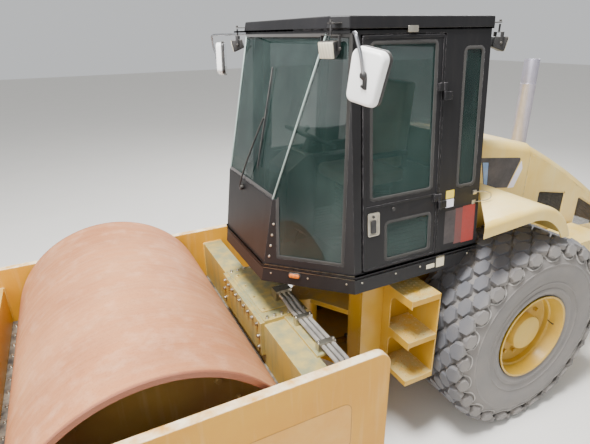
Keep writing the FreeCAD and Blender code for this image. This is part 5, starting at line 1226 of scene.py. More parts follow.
@dataclass
class Chassis:
    """The rear frame with its steps, boxes, axle and bumper."""

    bumper_rear: float = -2.7525
    bumper_half: float = 0.620
    step_front: float = 0.0675
    step_outer: float = 0.880
    box_door_front: float = -1.940

    def build(self) -> None:
        """Dresses the frame and adds tread plates, lids, latches, lamps and fasteners."""
        softened("rear_frame", "chassis", "rear", FRAME_PAINT, 3 * MM)
        softened("frame_plates", "chassis_plates", "rear", FRAME_PAINT, 3 * MM)
        softened("frame_deck", "chassis_deck", "rear", FRAME_PAINT, 3 * MM)
        softened("frame_brackets", "chassis_brackets", "rear", FRAME_PAINT, 2 * MM)
        softened("hitch_ears", "chassis_ears", "rear", FRAME_PAINT, 4 * MM)
        softened("steps", "step_boxes", "rear", STEP_PAINT, 2.5 * MM)
        softened("rear_bumper", "bumper", "rear", FRAME_PAINT, 12 * MM)
        softened("side_boxes", "tool_boxes", "rear", HOOD_PAINT, 8 * MM)
        softened("rear_axle", "axle", "rear", DARK_PAINT, 3 * MM)
        repaint("cab_mounts", MOUNT_RUBBER)
        repaint("engine", ENGINE_PAINT)
        self.box_fittings()
        self.bumper_fittings()
        self.tread_grips()

    def box_fittings(self) -> None:
        """The door of each side box: its folded rim, seal, two latches and hinge barrels."""
        low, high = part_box("side_boxes")
        face, foot, top = high.y, low.z + 0.050, 1.085
        door = oblong((low.x + 0.040, foot), (self.box_door_front, top), 0.025)
        turn = Matrix.Translation((0.0, face, 0.0)) @ Matrix.Rotation(math.pi / 2, 4, "X")
        leaf, rubber, steel = Form(), Form(), Form()
        rubber.add(rim_of(door, 8 * MM, 3 * MM, 1 * MM), turn @ Matrix.Translation((0.0, 0.0, -2 * MM)))
        inner = [(x + 0.006 * way, z + 0.006 * rise, 0.022) for (x, z, _), way, rise in
                 zip(door, (1, -1, -1, 1), (1, 1, -1, -1))]
        leaf.add(plate(inner, 5 * MM, 2 * MM), turn @ Matrix.Translation((0.0, 0.0, -5 * MM)))
        for x in (low.x + 0.16, self.box_door_front - 0.12):
            steel.box((x - 0.022, face + 3 * MM, top - 0.075), (x + 0.022, face + 10 * MM, top - 0.020), 3 * MM)
            steel.add(bar(7 * MM, 6 * MM, 1 * MM, 12), aim((x, face + 9 * MM, top - 0.048), (0, 1, 0)))
            steel.add(bar(8 * MM, 0.080, 1 * MM, 12), aim((x - 0.040, face + 4 * MM, foot - 4 * MM), (1, 0, 0)))
        finished(leaf.mirror(), "box_doors", "rear", HOOD_PAINT)
        finished(rubber.mirror(), "box_seals", "rear", SEAL_RUBBER)
        finished(steel.mirror(), "box_latches", "rear", ZINC)

    def bumper_fittings(self) -> None:
        """Tail lamps in their trays and the bumper's bolts."""
        x = self.bumper_rear
        trays, red, amber, steel = Form(), Form(), Form(), Form()
        trays.box((x - 4 * MM, 0.395, 0.862), (x + 6 * MM, 0.585, 0.968), 3 * MM)
        for form, low, high in ((red, (0.405, 0.872), (0.495, 0.958)), (amber, (0.503, 0.872), (0.575, 0.958))):
            form.box((x - 6 * MM, *low), (x + 4 * MM, *high), 3 * MM)
        finished(trays.mirror(), "tail_lamp_trays", "rear", CAB_PLASTIC)
        finished(red.mirror(), "tail_lenses", "rear", RED_LENS)
        finished(amber.mirror(), "turn_lenses", "rear", AMBER_LENS)
        steel.bolts([(x, sign * 0.20, height) for sign in (1, -1) for height in (0.74, 0.94)], (-1, 0, 0),
                    30 * MM, 16 * MM)
        finished(steel, "bumper_bolts", "rear", ZINC)

    def tread_grips(self) -> None:
        """Punched grip buttons on the three treads of each step box."""
        form = Form()
        for top in (1.345, 1.015, 0.685):
            for column in range(8):
                for line in range(6):
                    y = 0.600 + 0.036 * column + (0.018 if line % 2 else 0.0)
                    x = -0.160 + 0.036 * line
                    if y < 0.868:
                        form.add(bar(8 * MM, 3 * MM, 0.8 * MM, 10, 6.5 * MM), Matrix.Translation((x, y, top)))
        finished(form.mirror(), "step_grips", "rear", FRAME_PAINT)


@dataclass
class Bonnet:
    """The engine's covers: tilting hood, cowl, fenders, screens, exhaust and bands of film."""

    half: float = 0.455
    seam: float = -1.4175
    exhaust_x: float = -1.8325
    exhaust_radius: float = 0.065
    exhaust_foot: float = 1.78
    exhaust_top: float = 2.750
    mesh_step: float = 0.014
    fender_edge: Sequence[Point] = ((-0.5425, 0.790), (-0.3000, 1.050))
    openings: Sequence[Sequence[Corner]] = (
        ((-1.6075, 1.410, 0.03), (-1.9775, 1.310, 0.03), (-1.9775, 1.650, 0.03), (-1.6075, 1.720, 0.03)),
        ((-2.1775, 1.260, 0.03), (-2.5075, 1.230, 0.03), (-2.5075, 1.405, 0.03), (-2.1775, 1.580, 0.03)))

    def build(self) -> None:
        """Makes the covers and their fittings in order."""
        softened("hood", "tilt_hood", "hood", HOOD_PAINT, 3 * MM)
        softened("hood_sides", "hood_panels", "hood", HOOD_PAINT, 2 * MM)
        softened("cowl", "fixed_cowl", "rear", HOOD_PAINT, 3 * MM)
        self.fenders()
        self.screens()
        self.exhaust()
        self.films()
        self.fittings()

    def fenders(self) -> None:
        """The fenders, with the slanted front edge that clears the open door."""
        mesh = merged("fenders")
        for side in Side:
            start, end = (Vector((x, side.value * y, 0.0)) for x, y in self.fender_edge)
            normal = (end - start).cross(Vector((0.0, 0.0, 1.0))) * side.value
            cut = bmesh.ops.bisect_plane(mesh, geom=mesh.verts[:] + mesh.edges[:] + mesh.faces[:], dist=1e-6,
                                         plane_co=start, plane_no=normal, clear_outer=False)["geom_cut"]
            spare = [vertex for vertex in mesh.verts if (vertex.co - start).dot(normal) > 1e-5
                     and vertex.co.y * side.value > 0.0]
            bmesh.ops.delete(mesh, geom=spare, context="VERTS")
            rims = [item for item in cut if isinstance(item, bmesh.types.BMEdge) and item.is_valid
                    and item.is_boundary]
            bmesh.ops.holes_fill(mesh, edges=rims)
        finished(Form().add(mesh), "wheel_fenders", "rear", HOOD_PAINT, 4 * MM, ("fenders",))

    @staticmethod
    def across(outline: Sequence[Corner], axis: int, value: float) -> tuple[float, float]:
        """How far a wire runs inside an opening, with its tucked ends.

        Args:
            outline: the opening's corners.
            axis: 0 for an upright wire, 1 for a level one.
            value: where the wire stands on that axis.

        Returns:
            Its lowest and highest point, or the same twice outside the opening.
        """
        cuts = []
        for first, second in zip(outline, [*outline[1:], outline[0]]):
            if (first[axis] - value) * (second[axis] - value) < 0.0:
                share = (value - first[axis]) / (second[axis] - first[axis])
                cuts.append(first[1 - axis] + share * (second[1 - axis] - first[1 - axis]))
        return (min(cuts) - 10 * MM, max(cuts) + 10 * MM) if cuts else (0.0, 0.0)

    def screens(self) -> None:
        """Woven wire screens behind the hood's side openings, each with a pressed rim."""
        wires, rims = Form(), Form()
        face = self.half - 8 * MM
        for outline in self.openings:
            xs = [x for x, _, _ in outline]
            zs = [z for _, z, _ in outline]
            for index in range(1, int((max(xs) - min(xs)) / self.mesh_step) + 1):
                x = min(xs) + index * self.mesh_step
                low, high = self.across(outline, 0, x)
                if high > low:
                    wires.box((x - 1.6 * MM, face - 6 * MM, low), (x + 1.6 * MM, face - 3 * MM, high))
            for index in range(1, int((max(zs) - min(zs)) / self.mesh_step) + 1):
                z = min(zs) + index * self.mesh_step
                low, high = self.across(outline, 1, z)
                if high > low:
                    wires.box((low, face - 4 * MM, z - 1.6 * MM), (high, face - 1 * MM, z + 1.6 * MM))
            ring = rim_of([(x, z, reach) for x, z, reach in outline], 12 * MM, 5 * MM, 1.5 * MM)
            rims.add(ring, Matrix.Translation((0.0, self.half - 4 * MM, 0.0)) @ Matrix.Rotation(math.pi / 2, 4, "X"))
        finished(wires.mirror(), "screen_wires", "hood", DARK_PAINT, replaces=("hood_grilles",))
        finished(rims.mirror(), "screen_rims", "hood", HOOD_PAINT)

    def exhaust(self) -> None:
        """The tail pipe: a rolled tube with a bead and a clamp."""
        length = self.exhaust_top - self.exhaust_foot
        outer, wall = self.exhaust_radius - 1 * MM, 3 * MM
        joint = length - 0.200
        profile = [(outer, 0.0), (outer, joint - 6 * MM), (outer + 1 * MM, joint - 4 * MM), (outer + 1 * MM, joint),
                   (outer - 1 * MM, joint + 1 * MM), (outer - 1 * MM, length - 2 * MM), (outer - wall / 2, length),
                   (outer - wall, length - 2 * MM), (outer - wall, 0.0)]
        form = Form().add(lathe(profile, 48, True), Matrix.Translation((self.exhaust_x, 0.0, self.exhaust_foot)))
        finished(form, "exhaust_pipe", "hood", EXHAUST_STEEL, replaces=("exhaust",))
        collar = [(outer + 1 * MM, 0.0), (outer + 14 * MM, 0.0), (outer + 14 * MM, 4 * MM), (outer + 4 * MM, 8 * MM),
                  (outer + 3 * MM, 34 * MM), (outer + 1 * MM, 36 * MM)]
        foot = Form().add(lathe(collar, 48, True), Matrix.Translation((self.exhaust_x, 0.0, 1.914)))
        finished(foot, "exhaust_collar", "hood", DARK_PAINT)

    def films(self) -> None:
        """Blank bands of film on the cowl: a dark field with a blue bar and a pale edge."""
        face = self.half + 0.2 * MM
        for name, finish, outline, proud in (
                ("cowl_band", DARK_VINYL, [(-0.86, 2.100, 0.01), (-1.315, 2.045, 0.03), (-1.200, 1.810, 0.01),
                                           (-0.93, 1.850, 0.01)], 0.0),
                ("cowl_bar", BLUE_VINYL, [(-0.885, 2.060, 0.004), (-0.945, 2.052, 0.004), (-0.965, 1.850, 0.004),
                                          (-0.935, 1.853, 0.004)], 0.4 * MM),
                ("cowl_edge", PALE_VINYL, [(-1.320, 2.020, 0.006), (-1.345, 1.950, 0.006), (-1.275, 1.803, 0.006),
                                           (-1.205, 1.806, 0.006)], 0.2 * MM)):
            form = Form()
            for side in Side:
                sheet = plate(outline, 0.5 * MM)
                form.add(sheet, side.turn @ Matrix.Translation((0, face + proud, 0)) @ Matrix.Rotation(math.pi / 2, 4, "X"))
            finished(form, name, "rear", finish)

    def fittings(self) -> None:
        """Hood latches, lift handles and the rubber strip in the hood's seam."""
        steel, rubber = Form(), Form()
        for x, z in ((-1.485, 1.34), (-2.62, 1.30)):
            steel.box((x - 0.020, self.half - 1 * MM, z - 0.045), (x + 0.020, self.half + 7 * MM, z + 0.045), 3 * MM)
            steel.add(bar(6 * MM, 0.060, 1 * MM, 12), aim((x, self.half + 11 * MM, z - 0.030), (0, 0, 1)))
        finished(steel.mirror(), "hood_latches", "hood", ZINC)
        rubber.box((self.seam - 1 * MM, self.half - 8 * MM, 1.240), (self.seam + 7 * MM, self.half - 3 * MM, 2.055), 1 * MM)
        finished(rubber.mirror(), "seam_seals", "rear", SEAL_RUBBER)


@dataclass
class CabShell:
    """The cab's floor, frame, roof and panes, with their seals, trim and outer fittings."""

    rear: float = -0.5325
    post: float = 0.4725
    nose: float = 0.9175
    half: float = 0.803
    nose_half: float = 0.360
    lean: float = 0.079
    bottom: float = 1.476
    sill: float = 1.607
    belt: float = 2.035
    wall_top: float = 3.005
    top: float = 3.070
    middle: Point = (0.10, 0.0, 2.35)

    @property
    def wall(self) -> Matrix:
        """The matrix from (-x, height up the wall, proud) to the left side wall."""
        length = math.hypot(1.0, self.lean)
        out = Vector((0.0, 1.0 / length, self.lean / length))
        up = Vector((0.0, -self.lean / length, 1.0 / length))
        turn = Matrix(((-1.0, 0.0, 0.0), tuple(up), tuple(out))).transposed().to_4x4()
        return Matrix.Translation((0.0, self.half, self.bottom)) @ turn

    def on_wall(self, points: Sequence[Corner]) -> list[Corner]:
        """An outline given as (x, z, corner reach), in the side wall's own plane."""
        stretch = math.hypot(1.0, self.lean)
        return [(-x, (z - self.bottom) * stretch, reach) for x, z, reach in points]

    def corner_normal(self) -> Vector:
        """The outward normal of the left corner wall."""
        top_half = self.half - self.lean * (self.top - self.bottom)
        up = Vector((0.016, top_half - self.half, self.top - self.bottom))
        along = Vector((self.nose - self.post, self.nose_half - self.half, 0.0))
        return up.cross(along).normalized() * (1.0 if up.cross(along).x > 0 else -1.0)

    def outline(self, height: float, out: float) -> list[Vector]:
        """The cab's corners at a height, the left ones first, set out from its walls."""
        drop = self.lean * (height - self.bottom)
        nose = self.nose - 0.079 * (height - self.bottom) / (self.belt - self.bottom) + out
        normal = self.corner_normal()
        start = Vector((self.post, self.half, self.bottom)) + normal * out
        side = self.half - drop + out

        def meet(x: Optional[float], y: Optional[float]) -> float:
            """The missing coordinate on the corner wall."""
            lift = normal.z * (height - start.z)
            if x is None:
                return start.x - (normal.y * (y - start.y) + lift) / normal.x
            return start.y - (normal.x * (x - start.x) + lift) / normal.y

        left = [Vector((self.rear - out, side, height)), Vector((meet(None, side), side, height)),
                Vector((nose, meet(nose, None), height))]
        return left + [Vector((point.x, -point.y, point.z)) for point in reversed(left)]

    def build(self) -> None:
        """Makes the shell's pieces in order."""
        softened("cab_floor", "floor_pan", "rear", CAB_PAINT, 3 * MM)
        softened("cab_frame", "cab_posts", "rear", CAB_PAINT, 3 * MM)
        softened("cab_roof", "roof_cap", "rear", CAB_PAINT, 8 * MM)
        repaint("cab_glass", TINTED_GLASS)
        self.seals("cab_glass", "pane_seals", "rear")
        self.trim_rails()
        self.screen_seams()
        self.fasteners()
        self.stickers()
        self.wiper()
        self.roof_fittings()
        self.stay_wires()

    def seam_line(self) -> tuple[Vector, Vector]:
        """The two ends of the seam between the front pane and the left corner pane."""
        return Vector((0.8385, 0.400, self.belt + 0.010)), Vector((0.5800, 0.592, self.wall_top - 0.020))

    def seals(self, node: str, name: str, body: str, width: float = 0.020, depth: float = 0.009) -> None:
        """Rubber sections round each pane of a glass node, on its outer face.

        Args:
            node: the glass node.
            name: the piece's name.
            body: the body that it rides on.
            width: how far the rubber laps over the pane.
            depth: how thick it is.
        """
        mesh = merged(node)
        middle = Vector(self.middle)
        outer = [face for face in mesh.faces if face.calc_area() > 0.02
                 and face.normal.dot(face.calc_center_median() - middle) > 0.0]
        bmesh.ops.delete(mesh, geom=[face for face in mesh.faces if face not in set(outer)], context="FACES")
        panes = mesh.faces[:]
        bmesh.ops.inset_individual(mesh, faces=panes, thickness=width, use_even_offset=True)
        bmesh.ops.delete(mesh, geom=panes, context="FACES")
        ends = [self.seam_line()]
        ends.append(tuple(Vector((point.x, -point.y, point.z)) for point in ends[0]))

        def on_seam(face: bmesh.types.BMFace) -> bool:
            """Whether a strip runs along the seam of the front panes."""
            spot = face.calc_center_median()
            for start, end in ends:
                run = end - start
                share = (spot - start).dot(run) / run.length_squared
                if -0.02 < share < 1.02 and (spot - start - run * share).length < 0.034:
                    return True
            return False

        if node == "cab_glass":
            bmesh.ops.delete(mesh, geom=[face for face in mesh.faces if on_seam(face)], context="FACES")
        lifted = bmesh.ops.extrude_face_region(mesh, geom=mesh.faces[:])["geom"]
        tops = [item for item in lifted if isinstance(item, bmesh.types.BMVert)]
        mesh.normal_update()
        flats = {}
        for vertex in tops:
            best = max(vertex.link_faces, key=lambda face: abs(face.normal.dot(vertex.co - middle)) * face.calc_area(),
                       default=None)
            flats[vertex] = best.normal.copy() if best else Vector()
            if flats[vertex].dot(vertex.co - middle) < 0:
                flats[vertex].negate()
        for vertex, normal in flats.items():
            vertex.co += normal * depth
        bmesh.ops.recalc_face_normals(mesh, faces=mesh.faces)
        form = Form()
        form.add(soften(mesh, 2.5 * MM, 2, 1.0))
        finished(form, name, body, SEAL_RUBBER)

    def trim_rails(self) -> None:
        """Thin folded rails round the cab at its sill and under its roof."""
        for name, height, rise, out, finish in (("sill_rail", self.sill - 0.012, 0.014, 6 * MM, CAB_PAINT),
                                                ("sill_line", self.sill - 0.006, 0.005, 8 * MM, ZINC),
                                                ("skirt_line", self.sill - 0.032, 0.005, 5 * MM, ZINC),
                                                ("roof_rail", self.wall_top - 0.006, 0.010, 9 * MM, CAB_PAINT)):
            mesh = bmesh.new()
            mesh.faces.new([mesh.verts.new(point) for point in self.outline(height, out)])
            middle = mesh.faces[:]
            bmesh.ops.inset_region(mesh, faces=middle, thickness=0.020, use_boundary=True, use_even_offset=True)
            bmesh.ops.delete(mesh, geom=middle, context="FACES")
            raise_faces(mesh, Vector((0.0, 0.0, rise)), 2 * MM)
            finished(Form().add(mesh), name, "rear", finish)

    def screen_seams(self) -> None:
        """Pale sealant beads where the front pane meets the corner panes."""
        start, end = self.seam_line()
        form = Form()
        inward = Vector((-0.0075, -0.0055, -0.001))
        form.add(bar(6 * MM, (end - start).length, 2 * MM, 12), aim(start + inward, end - start))
        finished(form.mirror(), "screen_beads", "rear", SEALANT)

    def fasteners(self) -> None:
        """Bolt heads along the nose corners, below the sill and along the skirt."""
        form = Form()
        normal = self.corner_normal()
        corners = self.outline(self.sill, 0.0)
        for height in (1.660, 1.735, 1.810, 1.885):
            nose = self.outline(height, 0.0)[2]
            post = self.outline(height, 0.0)[1]
            spot = nose + (post - nose).normalized() * 0.030
            form.bolts([spot], normal, 11 * MM, 6 * MM)
        run = corners[2] - corners[1]
        form.bolts([corners[1] + run * share + Vector((0, 0, -0.065)) for share in (0.08, 0.5, 0.92)], normal, 12 * MM, 6 * MM)
        form.bolts([(x, 0.7935, 1.545) for x in (-0.46, -0.04, 0.16, 0.42)], (0.0, 1.0, self.lean), 12 * MM, 6 * MM)
        finished(form.mirror(), "cab_bolts", "rear", ZINC)

    def stickers(self) -> None:
        """Blank film on the side walls behind the doors and on the skirt."""
        films = (("wall_label_yellow", YELLOW_VINYL, (-0.305, 1.975), (-0.235, 2.030), 4 * MM, 0.6 * MM),
                 ("wall_label_white", PALE_VINYL, (-0.305, 1.915), (-0.235, 1.970), 4 * MM, 0.6 * MM),
                 ("wall_panel_dark", DARK_VINYL, (-0.330, 1.660), (-0.235, 1.890), 6 * MM, 0.4 * MM),
                 ("wall_panel_fade", FADE_VINYL, (-0.400, 1.645), (-0.325, 1.895), 4 * MM, 0.3 * MM),
                 ("wall_panel_red", RED_VINYL, (-0.505, 1.640), (-0.392, 1.900), 6 * MM, 0.35 * MM),
                 ("skirt_label", SAND_VINYL, (-0.250, 1.505), (-0.180, 1.580), 4 * MM, 0.5 * MM),
                 ("skirt_label_small", SAND_VINYL, (-0.165, 1.512), (-0.095, 1.542), 3 * MM, 0.5 * MM))
        for name, finish, low, high, reach, proud in films:
            outline = self.on_wall([(low[0], low[1], reach), (high[0], low[1], reach), (high[0], high[1], reach),
                                    (low[0], high[1], reach)])
            form = Form()
            form.add(plate(outline, 0.4 * MM), self.wall @ Matrix.Translation((0.0, 0.0, proud)))
            finished(form, name, "rear", finish)
        marker, lens = Form(), Form()
        normal = self.corner_normal()
        points = self.outline(1.548, 0.0)
        spot = points[2] + (points[1] - points[2]) * 0.36
        place = aim(spot, normal)
        marker.add(plate(oblong((-0.042, -0.019), (0.042, 0.019), 0.017), 8 * MM, 2 * MM), place)
        lens.add(plate(oblong((-0.036, -0.014), (0.036, 0.014), 0.013), 9 * MM, 4 * MM), place @ Matrix.Translation((0, 0, 6 * MM)))
        finished(marker.mirror(), "marker_bases", "rear", CAB_PLASTIC)
        finished(lens.mirror(), "marker_lenses", "rear", AMBER_LENS)

    def wiper(self) -> None:
        """The front wiper: a spindle on the nose, an arm and a blade lying on the pane."""
        form = Form()
        foot = Vector((0.848, -0.10, 1.985))
        tilt = Vector((0.985, 0.0, 0.139)).normalized()
        form.add(bar(0.020, 0.022, 3 * MM, 24), aim(foot, tilt))
        slope = Vector((-0.264, 0.0, 0.970)).normalized()
        out = Vector((0.965, 0.0, 0.2626)).normalized()
        base = Vector((0.8385, 0.0, self.belt))
        tip = base + slope * 0.46 + Vector((0, 0.06, 0)) + out * 0.016
        form.add(swept([foot + tilt * 0.020, foot + tilt * 0.030 + Vector((0, 0.01, 0.06)), tip], 6 * MM))
        low = base + slope * 0.14 + Vector((0, 0.10, 0)) + out * 0.006
        high = base + slope * 0.78 + Vector((0, 0.02, 0)) + out * 0.006
        form.add(bar(5 * MM, (high - low).length, 1 * MM, 8), aim(low, high - low))
        finished(form, "screen_wiper", "rear", CAB_PLASTIC)

    def roof_fittings(self) -> None:
        """Pressed ribs on the roof and the bright catch over the door."""
        form = Form()
        for y in (-0.42, -0.14, 0.14, 0.42):
            form.add(plate(oblong((-0.47, y - 0.045), (0.42, y + 0.045), 0.03), 6 * MM, 4 * MM),
                     Matrix.Translation((0.0, 0.0, self.top - 1 * MM)))
        finished(form, "roof_ribs", "rear", CAB_PAINT)
        catch = Form()
        catch.add(plate(self.on_wall([(0.045, 2.985, 6 * MM), (0.118, 2.985, 6 * MM), (0.118, 3.020, 6 * MM),
                                      (0.045, 3.020, 6 * MM)]), 14 * MM, 3 * MM), self.wall)
        finished(catch.mirror(), "roof_catches", "rear", ZINC)

    def stay_wires(self) -> None:
        """The sprung wire that holds an open door, on the wall behind it."""
        form = Form()
        y = self.half - self.lean * (2.0 - self.bottom)
        for z in (1.985, 1.915):
            form.box((-0.500, y - 2 * MM, z - 0.015), (-0.470, y + 12 * MM, z + 0.015), 3 * MM)
        form.add(swept([(-0.485, y + 10 * MM, 1.985), (-0.530, y + 22 * MM, 1.990), (-0.620, y + 26 * MM, 1.965),
                        (-0.632, y + 26 * MM, 1.930), (-0.600, y + 24 * MM, 1.912), (-0.485, y + 10 * MM, 1.915)],
                       3.5 * MM))
        finished(form.mirror(), "door_stays", "rear", ZINC)


@dataclass
class CabDoor:
    """One cab door: its leaf, panes, seals, latch and hinges."""

    side: Side
    shell: CabShell
    front: float = 0.4125
    rear: float = -0.1675
    bottom: float = 1.612
    top: float = 2.975

    def build(self) -> None:
        """Dresses the leaf and adds its fittings."""
        word, body = self.side.word, "door_" + self.side.word
        softened("door_" + word, "door_leaf_" + word, body, CAB_PAINT, 2.5 * MM)
        repaint("door_glass_" + word, DOOR_GLASS)
        self.shell.seals("door_glass_" + word, "door_seals_" + word, body)
        place = self.side.turn @ self.shell.wall
        self.flanges(place, word, body)
        self.latch(place, word, body)

    def flanges(self, place: Matrix, word: str, body: str) -> None:
        """The folded border of the leaf and the swage under its upper pane."""
        form = Form()
        outline = self.shell.on_wall([(self.rear + 2 * MM, self.bottom + 2 * MM, 0.018), (self.front - 2 * MM, self.bottom + 2 * MM, 0.018),
                                      (self.front - 2 * MM, self.top - 2 * MM, 0.018), (self.rear + 2 * MM, self.top - 2 * MM, 0.018)])
        form.add(rim_of(outline, 0.016, 4 * MM, 1.5 * MM), place)
        strip = self.shell.on_wall([(self.rear + 0.02, 2.015, 3 * MM), (self.front - 0.02, 2.015, 3 * MM),
                                    (self.front - 0.02, 2.029, 3 * MM), (self.rear + 0.02, 2.029, 3 * MM)])
        form.add(plate(strip, 4 * MM, 1.5 * MM), place)
        finished(form, "door_flanges_" + word, body, CAB_PAINT)

    def latch(self, place: Matrix, word: str, body: str) -> None:
        """The paddle latch in its dish, with a lock barrel."""
        dish, paddle = Form(), Form()
        dish.add(rim_of(self.shell.on_wall([(0.292, 1.838, 0.016), (0.380, 1.838, 0.016), (0.380, 1.988, 0.016),
                                            (0.292, 1.988, 0.016)]), 0.012, 7 * MM, 2.5 * MM), place)
        dish.add(plate(self.shell.on_wall([(0.300, 1.846, 0.010), (0.372, 1.846, 0.010), (0.372, 1.980, 0.010),
                                           (0.300, 1.980, 0.010)]), 1.5 * MM), place)
        finished(dish, "latch_dish_" + word, body, ZINC)
        paddle.add(plate(self.shell.on_wall([(0.318, 1.856, 0.008), (0.356, 1.856, 0.008), (0.356, 1.940, 0.008),
                                             (0.318, 1.940, 0.008)]), 9 * MM, 3 * MM), place)
        spot = self.shell.on_wall([(0.336, 1.960, 0.0)])[0]
        paddle.add(bar(9 * MM, 6 * MM, 1 * MM, 20), place @ Matrix.Translation((spot[0], spot[1], 0.0)))
        spot = self.shell.on_wall([(0.190, 1.985, 0.0)])[0]
        paddle.add(bar(12 * MM, 10 * MM, 3 * MM, 20), place @ Matrix.Translation((spot[0], spot[1], 0.0)))
        finished(paddle, "latch_paddle_" + word, body, CAB_PLASTIC)
        grab = Form()
        low, high = (self.shell.on_wall([(0.385, z, 0.0)])[0] for z in (2.12, 2.62))
        grab.add(swept([(low[0], low[1], -0.050), (low[0], low[1], -0.085), (low[0], low[1] + 0.03, -0.105),
                        (high[0], high[1] - 0.03, -0.105), (high[0], high[1], -0.085), (high[0], high[1], -0.050)],
                       9 * MM), place)
        finished(grab, "door_grab_" + word, body, CAB_PLASTIC)


@dataclass
class CabInside:
    """The driver's place: seat, console, steering wheel, levers and lining."""

    seat_x: float = -0.1025
    seat_half: float = 0.245
    base_top: float = 1.937

    def build(self) -> None:
        """Makes the interior's pieces in order."""
        self.seat_frame()
        self.cushion("seat_cushion", "seat_pad", 0.018)
        self.cushion("seat_back", "back_pad", 0.018)
        self.console()
        self.wheel()
        self.levers()
        self.lining()

    def cushion(self, node: str, name: str, swell: float) -> None:
        """A foam pad in woven cloth, crowned, with two sewn channels.

        Args:
            node: the CAD solid that the pad stands for.
            name: the pad's name.
            swell: how far its faces crown.
        """
        low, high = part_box(node)
        size = high - low
        mesh = merged(node)
        bmesh.ops.triangulate(mesh, faces=mesh.faces)
        bmesh.ops.subdivide_edges(mesh, edges=[edge for edge in mesh.edges if edge.calc_length() > 0.05], cuts=6,
                                  use_grid_fill=True)
        middle = (low + high) / 2
        half = size / 2
        for vertex in mesh.verts:
            offset = vertex.co - middle
            share = [max(0.0, 1.0 - (offset[axis] / half[axis]) ** 2) for axis in range(3)]
            pinch = 0.5 * math.exp(-((abs(offset.y) - 0.115) / 0.010) ** 2)
            inward = swell * (1.0 - (share[0] * share[1] + share[1] * share[2] + share[0] * share[2]) / 1.6)
            vertex.co -= Vector(offset[axis] / half[axis] * max(0.0, inward) * 0.35 for axis in range(3))
            thin = 2 if size.z < size.x else 0
            side = 1.0 if offset[thin] > 0 else -1.0
            vertex.co[thin] -= side * swell * 0.45 * pinch * share[1]
        bmesh.ops.smooth_vert(mesh, verts=mesh.verts, factor=0.5, use_axis_x=True, use_axis_y=True, use_axis_z=True)
        form = Form()
        form.add(mesh)
        piece = finished(form, name, "rear", SEAT_CLOTH, replaces=(node,), smooth=1.2)

    def seat_frame(self) -> None:
        """The suspension base with its bellows and arm rests."""
        form = Form()
        low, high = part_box("seat_base")
        x, y = (low.x + high.x) / 2, 0.0
        form.box((low.x, low.y, low.z), (high.x, high.y, low.z + 0.070), 6 * MM)
        form.box((low.x + 0.01, low.y + 0.01, high.z - 0.045), (high.x - 0.01, high.y - 0.01, high.z), 6 * MM)
        finished(form, "seat_stand", "rear", CAB_PLASTIC, replaces=("seat_base",))
        folds = Form()
        count = 7
        rise = (high.z - 0.045 - low.z - 0.070) / count
        for index in range(count):
            level = low.z + 0.070 + index * rise
            folds.box((low.x + 0.02, low.y + 0.02, level), (high.x - 0.02, high.y - 0.02, level + rise), rise * 0.42)
        finished(folds, "seat_bellows", "rear", SEAL_RUBBER)
        arms = Form()
        for side in (1.0, -1.0):
            arms.box((x - 0.20, side * 0.262 - 0.022, 2.155), (x + 0.14, side * 0.262 + 0.022, 2.195), 12 * MM)
            arms.box((x - 0.205, side * 0.262 - 0.012, 2.060), (x - 0.165, side * 0.262 + 0.012, 2.170), 6 * MM)
        finished(arms, "arm_rests", "rear", CAB_PLASTIC)

    def console(self) -> None:
        """The dash with a round gauge cluster and switches."""
        softened("console", "dash", "rear", CAB_PLASTIC, 8 * MM)
        bezels, faces, keys = Form(), Form(), Form()
        tilt = Vector((-0.55, 0.0, 0.83)).normalized()
        for y in (-0.105, -0.035, 0.035, 0.105):
            place = aim((0.470, y, 2.220), tilt)
            bezels.add(lathe([(0.030, 0.0), (0.030, 0.008), (0.027, 0.011), (0.025, 0.008), (0.025, 0.004)], 32), place)
            faces.add(bar(0.025, 0.006, 0.5 * MM, 32), place)
        for step in range(6):
            keys.box((0.425, -0.125 + 0.05 * step - 0.013, 2.140), (0.435, -0.125 + 0.05 * step + 0.013, 2.175), 2 * MM,
                     Matrix.Translation((-0.028, 0.0, 0.0)))
        finished(bezels, "gauge_rings", "rear", ZINC)
        finished(faces, "gauge_faces", "rear", WHITE_PLASTIC)
        finished(keys, "dash_switches", "rear", GREY_PLASTIC)

    def wheel(self) -> None:
        """The steering wheel: a moulded rim, three spokes, hub and knob."""
        centre = Vector((0.3525, 0.0, 2.307))
        tilt = Vector((-0.45, 0.0, 0.89)).normalized()
        place = aim(centre, tilt)
        form = Form()
        ring = [(0.185 + 0.0135 * math.cos(turn), 0.0135 * math.sin(turn)) for turn in (math.tau * step / 14 for step in range(14))]
        form.add(lathe(ring, 72, True), place)
        for turn in (math.pi / 2, math.pi * 7 / 6, math.pi * 11 / 6):
            spoke = block((0.160, 0.026, 0.008), 3 * MM)
            bmesh.ops.translate(spoke, verts=spoke.verts, vec=(0.105, 0.0, -0.006))
            form.add(spoke, place @ Matrix.Rotation(turn, 4, "Z"))
        form.add(lathe([(0.0, 0.012), (0.030, 0.010), (0.040, 0.002), (0.042, -0.012), (0.026, -0.020), (0.026, -0.125), (0.0, -0.125)], 40), place)
        knob = lathe([(0.0, 0.052), (0.012, 0.050), (0.019, 0.040), (0.020, 0.030), (0.012, 0.018), (0.009, 0.0)], 28)
        form.add(knob, place @ Matrix.Translation((-0.13, 0.131, 0.010)))
        finished(form, "hand_wheel", "rear", CAB_PLASTIC, replaces=("steering_wheel",))

